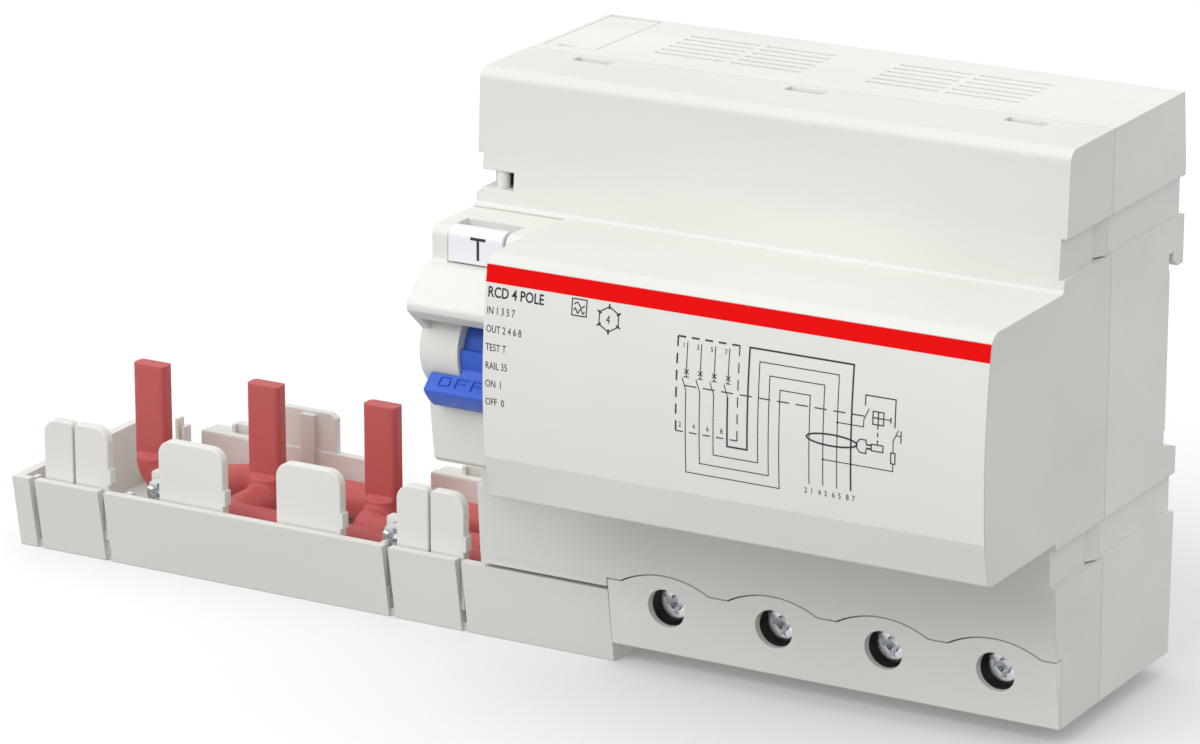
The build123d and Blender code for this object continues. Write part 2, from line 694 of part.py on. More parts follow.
for number, x in enumerate(terminal_xs, start=1):
    with BuildPart() as terminal_screw:
        with Locations(Location((x, (head_y + head_back) / 2, terminal_z), (90, 0, 0))):
            Cylinder(screw_head_radius, screw_head_height)
        fillet(terminal_screw.edges().filter_by(GeomType.CIRCLE).sort_by(Axis.Y)[0], 0.7)
        with Locations(Location((x, (head_back + bus_front - 0.2) / 2, terminal_z), (90, 0, 0))):
            Cylinder(screw_radius, bus_front - 0.2 - head_back)
        driver_recess(x, head_y, terminal_z, screw_head_radius, 1.8)
    save(terminal_screw, f"terminal_screw_{number}")

    with BuildPart() as cage_clamp:
        slab(x - clamp_width / 2, x + clamp_width / 2, clamp_front,
             clamp_front + 2 * clamp_wall + clamp_opening, terminal_z - clamp_height / 2,
             terminal_z + clamp_height / 2)
        slab(x - clamp_width / 2 + clamp_wall / 2, x + clamp_width / 2 - clamp_wall / 2,
             clamp_front + clamp_wall, clamp_front + clamp_wall + clamp_opening,
             terminal_z - clamp_height, terminal_z + clamp_height, mode=Mode.SUBTRACT)
        with Locations(Location((x, clamp_front + clamp_wall / 2, terminal_z), (90, 0, 0))):
            Cylinder(screw_radius + thread_gap, clamp_wall + 1, mode=Mode.SUBTRACT)
    save(cage_clamp, f"cage_clamp_{number}")

# ================================================================ conductors and busbars
stub_y = rear_lane - lead_spacing
lanes = {1: rear_lane, 4: rear_lane - lead_spacing, 3: rear_lane - 2 * lead_spacing,
         2: rear_lane - 3 * lead_spacing}
far_y, near_y = lanes[4], lanes[3]
core_y = (far_y + near_y) / 2
core_x = terminal_xs[0] - 6.3
low_row, high_row = core_z - lead_spacing / 2, core_z + lead_spacing / 2
bundle = {1: (far_y, high_row), 2: (near_y, high_row), 3: (near_y, low_row), 4: (far_y, low_row)}
lead_start = up(8.3)            # where the round lead leaves its stub
drop_xs = {3: terminal_xs[0] + 8.0, 4: terminal_xs[1], 2: terminal_xs[2], 1: terminal_xs[3]}
tongue_z = up(30)
terminal_of = {3: 0, 4: 1, 2: 2, 1: 3}

for number in range(1, 5):
    x = pole_xs[number - 1]
    lane = lanes[number]
    row_y, row_z = bundle[number]
    drop_x = drop_xs[number]
    if number == 1:
        start = [(x, stub_y, lead_start), (x, stub_y, lead_z), (x + 9, stub_y, lead_z),
                 (x + 19, lane, lead_z)]
        bends = [lead_bend, 8, 8]
    elif number == 4:
        start = [(x, lane, lead_start), (x, lane, lead_z)]
        bends = [lead_bend]
    else:
        start = [(x, stub_y, lead_start), (x, stub_y, lead_z), (x, lane, lead_z)]
        bends = [lead_bend, 3.9]
    risers = [(riser_x, lane, lead_z), (riser_x, lane, row_z)]
    gather = [] if lane == row_y else [(riser_x + 13, row_y, row_z)]
    drop = [(drop_x, row_y, row_z), (drop_x, row_y, tongue_z + 0.05)]
    path_points = start + risers + gather + drop
    bends = bends + [6, lead_bend] + [lead_bend] * len(gather) + [5.2]
    with BuildPart() as conductor:
        # flattened stub for the breaker's terminal
        with BuildSketch(Plane.XY.offset(up(stub_foot))):
            with Locations((x, path_points[0][1])):
                RectangleRounded(stub_width, stub_thickness, stub_corner)
        extrude(amount=up(stub_top) - up(stub_foot))
        # shoulder where the stub turns into the round lead
        with BuildSketch(Plane.XY.offset(lead_start)):
            with Locations((x, path_points[0][1])):
                Circle(lead_radius)
        with BuildSketch(Plane.XY.offset(up(stub_foot))):
            with Locations((x, path_points[0][1])):
                RectangleRounded(stub_width, stub_thickness, stub_corner)
        loft()
        with BuildLine():
            FilletPolyline(*path_points, radius=bends)
        with BuildSketch(Plane(origin=path_points[0], z_dir=(0, 0, -1))):
            Circle(lead_radius)
        sweep()
    save(conductor, f"conductor_{number}")

    terminal = terminal_of[number]
    bus_x = terminal_xs[terminal]
    with BuildPart() as busbar:
        slab(bus_x - busbar_width / 2, bus_x + busbar_width / 2, bus_front,
             bus_front + busbar_thickness, up(3.0), tongue_z)
        slab(min(bus_x, drop_x) - busbar_width / 2, max(bus_x, drop_x) + busbar_width / 2 - 0.4,
             bus_front, row_y + 4.4, tongue_z - busbar_thickness, tongue_z)
    save(busbar, f"busbar_{terminal + 1}")

# ================================================================ current transformer and relay
with BuildPart() as transformer_core:
    with Locations(Location((core_x, core_y, core_z), (0, 90, 0))):
        Cylinder(core_outer, core_length)
        Cylinder(core_inner + winding_thickness, core_length + 1, mode=Mode.SUBTRACT)
save(transformer_core, "transformer_core")

with BuildPart() as sense_winding:
    with Locations(Location((core_x, core_y, core_z), (0, 90, 0))):
        Cylinder(core_outer + 0.5, core_length + 2 * winding_thickness)
        Cylinder(core_inner, core_length + 4, mode=Mode.SUBTRACT)
        Cylinder(core_outer, core_length, mode=Mode.SUBTRACT)
    with Locations(Location((core_x, core_y, core_z), (0, 90, 0))):
        Cylinder(core_inner + winding_thickness, core_length)
        Cylinder(core_inner, core_length + 4, mode=Mode.SUBTRACT)
save(sense_winding, "sense_winding")

relay_left = -34.0
relay_length = 20.0
relay_half = 8.0
plunger_radius = 1.5
plunger_length = 13.8
relay_z = up(76)
relay_y = front_y + 14
lever_x = -45.2
lever_arm = 12.0
lever_half = 1.1
trip_pin_radius = 1.2
with BuildPart() as trip_relay:
    slab(relay_left, relay_left + relay_length, relay_y - relay_half, relay_y + relay_half, relay_z - 7,
         relay_z + 7)
    with Locations(Location((relay_left, relay_y, relay_z), (0, 90, 0))):
        Cylinder(plunger_radius + shaft_gap, plunger_length + 0.2, mode=Mode.SUBTRACT)
save(trip_relay, "trip_relay")

with BuildPart() as relay_plunger:
    with Locations(Location((relay_left - 0.9, relay_y, relay_z), (0, 90, 0))):
        Cylinder(plunger_radius, plunger_length)
save(relay_plunger, "relay_plunger")

lever_pin_z = relay_z - lever_arm
with BuildPart() as trip_lever:
    slab(lever_x - lever_half, lever_x + lever_half, relay_y - 3, relay_y + 3, lever_pin_z - 7,
         lever_pin_z + lever_arm + 2)
    with Locations(Location((lever_x, relay_y, lever_pin_z), (90, 0, 0))):
        Cylinder(2.6, 6)
        Cylinder(trip_pin_radius + shaft_gap, 8, mode=Mode.SUBTRACT)
save(trip_lever, "trip_lever")

with BuildPart() as trip_pin:
    with Locations(Location((lever_x, relay_y, lever_pin_z), (90, 0, 0))):
        Cylinder(trip_pin_radius, 12)
save(trip_pin, "trip_pin")

board_y = front_y + 9.5
board_thickness = 1.6
board_low, board_high = up(66), up(100)
resistor_radius = 1.9
resistor_length = 6.5
resistor_xs = (0, 9)
capacitor_radius = 5.0
capacitor_length = 12.0
capacitor_x = 26.0
chip_left = -2.0
chip_width = 10.0
chip_low = up(76)
chip_height = 8.0
with BuildPart() as circuit_board:
    slab(relay_left + relay_length + 4, half_width - 7, board_y, board_y + board_thickness, board_low,
         board_high)
save(circuit_board, "circuit_board")

with BuildPart() as test_resistor:
    for x in resistor_xs:
        with Locations(Location((x, board_y - resistor_radius - 0.1, board_high - 6), (0, 90, 0))):
            Cylinder(resistor_radius, resistor_length)
save(test_resistor, "test_resistor")

with BuildPart() as surge_capacitor:
    with Locations(Location((capacitor_x, board_y + board_thickness + capacitor_length / 2, up(80)),
                            (90, 0, 0))):
        Cylinder(capacitor_radius, capacitor_length)
save(surge_capacitor, "surge_capacitor")

with BuildPart() as controller_chip:
    slab(chip_left, chip_left + chip_width, board_y - 1.6, board_y, chip_low, chip_low + chip_height)
save(controller_chip, "controller_chip")

# ================================================================ access cover and what it hides
with BuildPart() as access_cover:
    slab(lid_left, lid_right, lid_front, lid_pin_y, top_z - lid_thickness, top_z)
    with Locations(Location((lid_left + lid_width / 2, lid_pin_y, lid_pin_z), (0, 90, 0))):
        Cylinder(lid_thickness / 2, lid_width)
        Cylinder(lid_pin_radius + shaft_gap, lid_width + 1, mode=Mode.SUBTRACT)
    # finger notch in the front edge
    slab(lid_left + 2.6, lid_left + 5.6, lid_front - 1, lid_front + 1.0, top_z - 0.8, top_z + 1,
         mode=Mode.SUBTRACT)
save(access_cover, "access_cover")

with BuildPart() as access_pin:
    with Locations(Location((lid_left + lid_width / 2, lid_pin_y, lid_pin_z), (0, 90, 0))):
        Cylinder(lid_pin_radius, lid_width + 1.5)
save(access_pin, "access_pin")

aux_z = top_z - well_depth
aux_x = lid_left + lid_width / 2
aux_half = aux_x + half_width - wall - 0.3
aux_ys = (lid_front + 6.5, -wall - 5.5)
aux_screw_radius = 1.8
with BuildPart() as aux_terminal:
    slab(aux_x - aux_half, aux_x + aux_half, lid_front + 3, -wall - 2, aux_z - 6, aux_z + 2.5)
    for y in aux_ys:
        with Locations((aux_x, y, aux_z + 2.5)):
            Cylinder(aux_screw_radius + 0.1, 4, mode=Mode.SUBTRACT)
save(aux_terminal, "aux_terminal")

with BuildPart() as aux_screws:
    for y in aux_ys:
        with Locations((aux_x, y, aux_z + 1.3)):
            Cylinder(aux_screw_radius, 1.4)
        slab(aux_x - 1.4, aux_x + 1.4, y - 0.3, y + 0.3, aux_z + 1.5, aux_z + 3,
             mode=Mode.SUBTRACT)
save(aux_screws, "aux_screws")

# ================================================================ sealing post
with BuildPart() as sealing_post:
    with Locations((post_x, post_y, (notch_low + notch_high) / 2)):
        Cylinder(post_radius, notch_high - notch_low)
save(sealing_post, "sealing_post")

# ================================================================ rail latches
latch_low = base_z - 2.2
latch_tip = rail_low_z + latch_hold
spring_coil = 0.25
latch_spring_length = 11.2
for name, x in zip(("left", "right"), latch_xs):
    with BuildPart() as rail_latch:
        with BuildSketch(side_plane(x - latch_width / 2)):
            with BuildLine():
                Polyline([(latch_y, latch_low), (latch_y, latch_tip - 1.6),
                          (latch_y + 1.4, latch_tip), (latch_y + latch_thickness, latch_tip),
                          (latch_y + latch_thickness, latch_low)], close=True)
            make_face()
        extrude(amount=latch_width)
        slab(x - 2.0, x + 2.0, latch_y - 1, latch_y + 4, peg_z - peg_half, peg_z + 13,
             mode=Mode.SUBTRACT)
    save(rail_latch, f"rail_latch_{name}")
    coil(f"latch_spring_{name}", (x, latch_y + latch_thickness / 2, peg_z + 1.3), (0, 0, 1),
         0.9, spring_coil, latch_spring_length, 8)

# ================================================================ connection tray
tray_back = tray_front + tray_depth
low_wall = 6.0                  # the front wall is thicker below this
hook_xs = (tray_left + 15.8, tray_left + 69.0)
hook_width = 11.5
hook_front = tray_back - 2.0
tray_screw_xs = (tray_left + 30.7, tray_left + 83.7)
tray_screw_y = tray_front + 7.6  # front of the boss
tray_screw_radius = 1.5
tray_head_radius = 2.9
low_stretches = ((1.9, 11.0), (12.0, 15.8), (27.3, 35.0), (57.0, 69.0), (80.5, 104.5))
rib_xs = (3.0, 24.6, 82.0, 105.0)
drain_xs = (11.2, 29.9, 56.5)
wall_slots = [tray_left + 4.6, tray_left + 20.6, tray_left + 84.6, tray_left + 100.5]
shield_front = tray_front + 1.9 + shield_gap
shield_spans = {
    "shield_pair_left": ((6.2, 12.8), (13.3, 21.0)),
    "shield_second": ((32.6, 47.2),),
    "shield_third": ((59.2, 73.5),),
    "shield_pair_right": ((85.8, 92.7), (93.2, 100.4)),
}
plate_x = (tray_left + 35.0, tray_left + 47.1)
plate_rise = 8.0                # how far the guide plate stands above the walls
shield_low = tray_z + shield_foot + 0.05

with BuildPart() as connection_tray:
    with BuildSketch(side_plane(tray_left)):
        with BuildLine():
            Polyline([(tray_front, tray_top_z), (tray_front + tray_lean, tray_z),
                      (tray_back, tray_z), (tray_back, tray_top_z)], close=True)
        make_face()
    extrude(amount=tray_length)
    slab(tray_left + tray_wall, tray_right - tray_wall, tray_front + tray_lean + 0.6,
         tray_back - tray_wall, tray_z + tray_floor, tray_top_z + 1, mode=Mode.SUBTRACT)
    slab(tray_left + tray_wall, tray_right - tray_wall, tray_front + tray_wall,
         tray_front + tray_lean + 1, tray_z + low_wall, tray_top_z + 1, mode=Mode.SUBTRACT)
    # slots that split the front wall into panels
    for x in wall_slots:
        slab(x - slot_width / 2, x + slot_width / 2, tray_front - 1, tray_front + tray_lean + 0.7,
             tray_z - 1, tray_top_z + 1, mode=Mode.SUBTRACT)
    # low stretches of the rear wall
    low_rear = tray_z + low_wall
    for start, stop in low_stretches:
        slab(tray_left + start, tray_left + stop, hook_front - 0.2, tray_back + 1, low_rear,
             tray_top_z + 1, mode=Mode.SUBTRACT)
    # hook blocks on the rear wall, each with a raised back and a slot
    for x in hook_xs:
        slab(x, x + hook_width, hook_front, tray_back + 3.6, tray_z + 3, tray_top_z - 0.3)
        slab(x + 5.4, x + hook_width, tray_back + 0.8, tray_back + 3.6, tray_top_z - 0.4,
             tray_top_z + 1.3)
        slab(x + 6.2, x + 9.6, tray_back + 0.2, tray_back + 1.6, tray_top_z - 3,
             tray_top_z + 2, mode=Mode.SUBTRACT)
        slab(x + 1.5, x + hook_width - 1.5, tray_back - 1.0, tray_back + 2.6, tray_z + 2,
             tray_top_z - 3.2, mode=Mode.SUBTRACT)
    # tall guide plate with a rib
    with BuildSketch(front_plane(tray_back)):
        with BuildLine():
            Polyline([(plate_x[0], tray_z), (plate_x[0], tray_top_z + plate_rise),
                      (plate_x[1] - 1.4, tray_top_z + plate_rise),
                      (plate_x[1], tray_top_z + plate_rise - 0.9),
                      (plate_x[1], tray_z)], close=True)
        make_face()
    extrude(amount=1.6)
    slab(plate_x[0] + 4.6, plate_x[0] + 7.7, tray_back - 2.6, tray_back - 1, tray_z + 2,
         tray_top_z + plate_rise - 0.6)
    slab(tray_left + 9.6, tray_left + 10.4, tray_back - 2.0, tray_back, tray_z + 2,
         tray_top_z + 1.4)
    # feet that carry the shields, and slots in the floor beside them
    for spans in shield_spans.values():
        for start, stop in spans:
            slab(tray_left + start + 0.5, tray_left + stop - 0.5, shield_front + 0.5,
                 shield_front + shield_thickness + 1.4, tray_z + 1,
                 tray_z + shield_foot + shield_socket)
            slab(tray_left + start - 0.1, tray_left + stop + 0.1, shield_front - 0.05,
                 shield_front + shield_thickness + 0.05, tray_z + shield_foot,
                 tray_z + shield_foot + shield_socket + 0.1, mode=Mode.SUBTRACT)
    # ribs beside the split panels
    for x in [tray_left + rib for rib in rib_xs]:
        slab(x - 0.6, x + 0.6, tray_front + tray_lean + 0.2, tray_front + 5.0, tray_z + 1,
             tray_z + low_wall + 0.1)
        slab(x - 0.6, x + 0.6, tray_front + 1.5, tray_front + 5.0, tray_z + low_wall,
             tray_top_z - 0.6)
    # drain slots in the floor
    for x in [tray_left + drain for drain in drain_xs]:
        slab(x - 0.5, x + 0.5, tray_back - 12, tray_back - 7, tray_z - 1, tray_z + 3,
             mode=Mode.SUBTRACT)
    # bosses for the tray screws
    for x in tray_screw_xs:
        slab(x - 3.3, x + 3.3, tray_screw_y, tray_screw_y + 2.2, tray_z + 1, tray_top_z + 3.2)
        with Locations(Location((x, tray_screw_y + 1.4, tray_top_z), (90, 0, 0))):
            Cylinder(tray_screw_radius, 12, mode=Mode.SUBTRACT)
save(connection_tray, "connection_tray")

for label, spans in shield_spans.items():
    with BuildPart() as shield:
        for place, (start, stop) in enumerate(spans):
            last_left = place == 0
            last_right = place == len(spans) - 1
            with BuildSketch(front_plane(shield_front + shield_thickness)):
                with BuildLine():
                    FilletPolyline([(tray_left + start, shield_low),
                                    (tray_left + start, tray_z + shield_top),
                                    (tray_left + stop, tray_z + shield_top),
                                    (tray_left + stop, shield_low)],
                                   radius=[shield_corner if last_left else shield_inner_corner,
                                           shield_corner if last_right else shield_inner_corner])
                    Line((tray_left + stop, shield_low), (tray_left + start, shield_low))
                make_face()
            extrude(amount=shield_thickness)
        fillet(shield.faces().filter_by_position(Axis.Y, shield_front - 0.01, shield_front + 0.01).edges(),
               0.3)
        edge = tray_left + spans[-1][1]
        slab(edge - 0.1, edge + shield_ear, shield_front, shield_front + shield_thickness,
             tray_z + 15.4, tray_z + 18.4)
    save(shield, label)

with BuildPart() as tray_screws:
    for x in tray_screw_xs:
        with Locations(Location((x, tray_screw_y - 1.2, tray_top_z), (90, 0, 0))):
            Cylinder(tray_head_radius, 2.3)
        with Locations(Location((x, tray_screw_y + 1.9, tray_top_z), (90, 0, 0))):
            Cylinder(tray_screw_radius - shaft_gap, 5)
        driver_recess(x, tray_screw_y - 2.35, tray_top_z, tray_head_radius, 1.3)
save(tray_screws, "tray_screws")
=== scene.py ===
"""Looks of the residual current block: finishes, printed label, letters and dressed fasteners.

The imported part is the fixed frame.  Every size is in metres and every place is worked out from the
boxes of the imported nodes, so the pieces follow the part if it changes.
"""

import logging
import math
from dataclasses import dataclass, field
from enum import Enum

import bmesh
import bpy
import numpy as np
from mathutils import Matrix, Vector

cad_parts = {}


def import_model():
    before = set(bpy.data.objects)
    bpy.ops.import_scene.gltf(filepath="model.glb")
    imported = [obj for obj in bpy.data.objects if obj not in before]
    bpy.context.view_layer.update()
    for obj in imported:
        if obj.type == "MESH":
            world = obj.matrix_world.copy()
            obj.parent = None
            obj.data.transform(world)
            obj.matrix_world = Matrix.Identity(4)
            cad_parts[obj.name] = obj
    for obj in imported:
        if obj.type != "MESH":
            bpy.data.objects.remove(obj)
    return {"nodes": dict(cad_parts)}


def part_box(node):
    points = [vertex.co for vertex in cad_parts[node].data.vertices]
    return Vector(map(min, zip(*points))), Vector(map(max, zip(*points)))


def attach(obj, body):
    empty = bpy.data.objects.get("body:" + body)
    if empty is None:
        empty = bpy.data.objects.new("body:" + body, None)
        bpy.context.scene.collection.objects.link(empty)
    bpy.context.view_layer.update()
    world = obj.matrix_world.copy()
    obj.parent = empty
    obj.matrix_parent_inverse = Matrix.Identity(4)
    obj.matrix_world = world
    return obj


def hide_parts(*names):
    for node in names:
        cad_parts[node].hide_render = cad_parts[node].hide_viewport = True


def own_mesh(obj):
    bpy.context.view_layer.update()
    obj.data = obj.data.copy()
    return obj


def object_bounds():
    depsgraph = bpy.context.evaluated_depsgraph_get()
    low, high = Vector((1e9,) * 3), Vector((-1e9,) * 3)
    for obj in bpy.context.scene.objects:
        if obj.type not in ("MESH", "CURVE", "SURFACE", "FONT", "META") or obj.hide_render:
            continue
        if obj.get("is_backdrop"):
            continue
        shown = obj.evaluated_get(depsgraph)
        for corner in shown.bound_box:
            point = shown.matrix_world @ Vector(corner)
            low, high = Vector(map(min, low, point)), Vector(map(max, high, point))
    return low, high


MM = 0.001
Colour = tuple[float, float, float]
Point = tuple[float, float]
log = logging.getLogger("residual_current_block")


# ------------------------------------------------------------------------------ node graphs
class Graph:
    """Node tree of one material, with short calls that add and join its nodes."""

    def __init__(self, name: str) -> None:
        """Start a material with only a shader and an output.

        Args:
            name: name of the material.
        """
        self.material = bpy.data.materials.new(name)
        self.material.use_nodes = True
        self.tree = self.material.node_tree
        self.tree.nodes.clear()
        self.shader = self.add("ShaderNodeBsdfPrincipled")
        output = self.add("ShaderNodeOutputMaterial")
        self.join(self.shader.outputs["BSDF"], output.inputs["Surface"])
        self.place = self.add("ShaderNodeTexCoord").outputs["Object"]

    def add(self, kind: str, **settings: object) -> bpy.types.Node:
        """Add one node.

        Args:
            kind: Blender's name of the node type.
            settings: properties set on the node.

        Returns:
            The new node.
        """
        node = self.tree.nodes.new(kind)
        for key, value in settings.items():
            setattr(node, key, value)
        return node

    def join(self, source: bpy.types.NodeSocket, target: bpy.types.NodeSocket) -> None:
        """Link an output to an input."""
        self.tree.links.new(source, target)

    def feed(self, target: bpy.types.NodeSocket, value: object) -> None:
        """Set an input, or link it when the value is an output of another node."""
        if isinstance(value, bpy.types.NodeSocket):
            self.join(value, target)
        else:
            target.default_value = value

    def math(self, operation: str, first: object, second: object = 0.0) -> bpy.types.NodeSocket:
        """Arithmetic on two values, kept between 0 and 1 by the caller.

        Args:
            operation: name of the operation.
            first: number or output.
            second: number or output.

        Returns:
            The result's output.
        """
        node = self.add("ShaderNodeMath", operation=operation)
        self.feed(node.inputs[0], first)
        self.feed(node.inputs[1], second)
        return node.outputs[0]

    def noise(self, size: float, detail: float = 2.0, stretch: Colour = (1, 1, 1)) -> bpy.types.NodeSocket:
        """Noise whose features are about one size across.

        Args:
            size: size of the features in metres.
            detail: number of finer octaves.
            stretch: factors on the three axes, small where the pattern is drawn out.

        Returns:
            The noise value's output.
        """
        mapping = self.add("ShaderNodeMapping")
        self.join(self.place, mapping.inputs["Vector"])
        mapping.inputs["Scale"].default_value = stretch
        node = self.add("ShaderNodeTexNoise")
        self.join(mapping.outputs["Vector"], node.inputs["Vector"])
        node.inputs["Scale"].default_value = 1 / size
        node.inputs["Detail"].default_value = detail
        return node.outputs["Fac"]

    def span(self, value: object, low: float, high: float, to_low: float,
             to_high: float) -> bpy.types.NodeSocket:
        """Map one range of values to another and clamp it.

        Args:
            value: output to map.
            low: start of the range.
            high: end of the range.
            to_low: result at the start.
            to_high: result at the end.

        Returns:
            The mapped value's output.
        """
        node = self.add("ShaderNodeMapRange")
        self.feed(node.inputs["Value"], value)
        for key, number in zip(("From Min", "From Max", "To Min", "To Max"), (low, high, to_low, to_high)):
            node.inputs[key].default_value = number
        return node.outputs["Result"]

    def blend(self, share: object, first: object, second: object) -> bpy.types.NodeSocket:
        """Mix two colours.

        Args:
            share: share of the second colour.
            first: colour or output.
            second: colour or output.

        Returns:
            The mixed colour's output.
        """
        node = self.add("ShaderNodeMix", data_type="RGBA")
        self.feed(node.inputs[0], share)
        for socket, value in ((node.inputs[6], first), (node.inputs[7], second)):
            self.feed(socket, (*value, 1.0) if isinstance(value, tuple) else value)
        return node.outputs[2]

    def edges(self, radius: float) -> tuple[bpy.types.NodeSocket, bpy.types.NodeSocket]:
        """Rounded normal along the edges, and a mask of where they are.

        Args:
            radius: radius of the rounding in metres.

        Returns:
            The rounded normal's output and the mask's output, 0 on flats and 1 on edges.
        """
        bevel = self.add("ShaderNodeBevel", samples=6)
        bevel.inputs["Radius"].default_value = radius
        flat = self.add("ShaderNodeNewGeometry")
        dot = self.add("ShaderNodeVectorMath", operation="DOT_PRODUCT")
        self.join(bevel.outputs["Normal"], dot.inputs[0])
        self.join(flat.outputs["Normal"], dot.inputs[1])
        return bevel.outputs["Normal"], self.span(dot.outputs["Value"], 0.99, 0.80, 0.0, 1.0)

    def bump(self, height: object, depth: float, normal: object = None) -> bpy.types.NodeSocket:
        """Relief from a height.

        Args:
            height: output with heights from 0 to 1.
            depth: depth of the relief in metres.
            normal: normal that the relief is added to.

        Returns:
            The new normal's output.
        """
        node = self.add("ShaderNodeBump")
        node.inputs["Distance"].default_value = depth
        self.feed(node.inputs["Height"], height)
        if normal is not None:
            self.join(normal, node.inputs["Normal"])
        return node.outputs["Normal"]

    def dress(self, **sockets: object) -> bpy.types.Material:
        """Set the shader's own inputs and hand back the finished material.

        Args:
            sockets: inputs of the shader, with underscores for spaces.

        Returns:
            The material.
        """
        for key, value in sockets.items():
            self.feed(self.shader.inputs[key.replace("_", " ")], value)
        return self.material


# ------------------------------------------------------------------------------ finishes
@dataclass(frozen=True)
class MouldedPlastic:
    """Injection-moulded plastic with a fine eroded grain, faint flow marks and polished edges, whose colour
    is lifted lighter as part rubbing and part painted highlight.
    """

    name: str
    colour: Colour
    roughness: float = 0.42
    grain: float = 0.35 * MM
    relief: float = 0.006 * MM
    flow: float = 26 * MM
    variation: float = 0.035
    edge_radius: float = 0.28 * MM
    # share by which the edges are painted lighter: part rubbing, part painted highlight
    edge_lift: float = 0.05
    gloss: float = 0.45

    def make(self) -> bpy.types.Material:
        """Build the finish's nodes and return its material."""
        g = Graph(self.name)
        fine = g.noise(self.grain, 3.0)
        coarse = g.noise(self.grain * 5, 2.0)
        flow = g.noise(self.flow, 1.0, (0.5, 1.0, 1.6))
        rounded, edge = g.edges(self.edge_radius)
        dark = tuple(c * (1 - self.variation) for c in self.colour)
        light = tuple(min(1.0, c * (1 + self.variation)) for c in self.colour)
        # edge colour: part rubbing, part painted highlight
        rubbed_edge_and_highlight = tuple(min(1.0, c * (1 + self.edge_lift) + self.edge_lift * 0.3) for c in self.colour)
        body = g.blend(g.span(flow, 0.3, 0.7, 0.0, 1.0), dark, light)
        speckle = g.span(fine, 0.35, 0.65, 0.0, 0.35)
        body = g.blend(g.math("MULTIPLY", speckle, 0.25), body, dark)
        # lay the lighter edge colour on the edge mask: part rubbing, part painted highlight
        body = g.blend(g.math("MULTIPLY", edge, 0.6), body, rubbed_edge_and_highlight)
        rough = g.span(coarse, 0.3, 0.7, self.roughness - 0.05, self.roughness + 0.07)
        rough = g.math("SUBTRACT", rough, g.math("MULTIPLY", edge, 0.12))
        height = g.math("ADD", fine, g.math("MULTIPLY", coarse, 0.8))
        normal = g.bump(height, self.relief, rounded)
        return g.dress(Base_Color=body, Roughness=rough, Normal=normal, Specular_IOR_Level=self.gloss)


@dataclass(frozen=True)
class PlatedMetal:
    """Plated or bare metal with drawn-out brush marks, stains and edges painted brighter, part wear and
    part painted highlight.
    """

    name: str
    colour: Colour
    roughness: float = 0.28
    stain: Colour = (0.42, 0.40, 0.37)
    stained: float = 0.25
    brush: Colour = (1.0, 1.0, 1.0)
    brush_size: float = 0.12 * MM
    relief: float = 0.004 * MM

    def make(self) -> bpy.types.Material:
        """Build the finish's nodes and return its material."""
        g = Graph(self.name)
        brushed = g.noise(self.brush_size, 3.0, self.brush)
        cloud = g.noise(2.4 * MM, 3.0)
        rounded, edge = g.edges(0.12 * MM)
        share = g.span(cloud, 0.45, 0.75, 0.0, self.stained)
        body = g.blend(share, self.colour, self.stain)
        # edges painted brighter: part wear, part painted highlight
        bright = tuple(min(1.0, c * 1.12) for c in self.colour)
        body = g.blend(g.math("MULTIPLY", edge, 0.7), body, bright)
        rough = g.span(brushed, 0.3, 0.7, self.roughness - 0.07, self.roughness + 0.10)
        rough = g.math("ADD", rough, g.math("MULTIPLY", share, 0.3))
        return g.dress(Base_Color=body, Roughness=rough, Normal=g.bump(brushed, self.relief, rounded),
                       Metallic=1.0)


@dataclass(frozen=True)
class PrintedFilm:
    """Satin label film with a paper-fine tooth."""

    name: str
    colour: Colour
    roughness: float = 0.36

    def make(self) -> bpy.types.Material:
        """Build the finish's nodes and return its material."""
        g = Graph(self.name)
        tooth = g.noise(0.18 * MM, 2.0)
        cloud = g.noise(18 * MM, 2.0)
        shade = tuple(c * 0.975 for c in self.colour)
        body = g.blend(g.span(cloud, 0.3, 0.7, 0.0, 1.0), self.colour, shade)
        rough = g.span(tooth, 0.3, 0.7, self.roughness - 0.04, self.roughness + 0.05)
        return g.dress(Base_Color=body, Roughness=rough, Normal=g.bump(tooth, 0.002 * MM),
                       Specular_IOR_Level=0.5)


@dataclass(frozen=True)
class PrintInk:
    """Screen-printed ink with slightly uneven cover."""

    name: str
    colour: Colour
    paler: Colour
    roughness: float = 0.4
    gloss: float = 0.5

    def make(self) -> bpy.types.Material:
        """Build the finish's nodes and return its material."""
        g = Graph(self.name)
        cover = g.noise(0.25 * MM, 3.0)
        body = g.blend(g.span(cover, 0.55, 0.8, 0.0, 0.6), self.colour, self.paler)
        rough = g.span(cover, 0.3, 0.7, self.roughness - 0.06, self.roughness + 0.1)
        return g.dress(Base_Color=body, Roughness=rough, Normal=g.bump(cover, 0.002 * MM),
                       Specular_IOR_Level=self.gloss)


@dataclass(frozen=True)
class CableSheath:
    """Extruded insulation with faint lines along it and ridges painted lighter, part scuffing and part
    painted highlight.
    """

    name: str
    colour: Colour
    roughness: float = 0.5

    def make(self) -> bpy.types.Material:
        """Build the finish's nodes and return its material."""
        g = Graph(self.name)
        grain = g.noise(0.3 * MM, 3.0)
        draw = g.noise(1.1 * MM, 2.0, (1.0, 1.0, 0.12))
        rounded, edge = g.edges(0.4 * MM)
        dusty = tuple(c * 0.86 + 0.02 for c in self.colour)
        # ridge colour: part scuffing, part painted highlight
        scuffs_and_edge_highlight = tuple(min(1.0, c * 1.15 + 0.03) for c in self.colour)
        body = g.blend(g.span(draw, 0.35, 0.7, 0.0, 0.6), self.colour, dusty)
        body = g.blend(g.math("MULTIPLY", edge, 0.5), body, scuffs_and_edge_highlight)
        rough = g.span(grain, 0.3, 0.7, self.roughness - 0.06, self.roughness + 0.1)
        height = g.math("ADD", grain, draw)
        return g.dress(Base_Color=body, Roughness=rough, Normal=g.bump(height, 0.008 * MM, rounded),
                       Specular_IOR_Level=0.4)


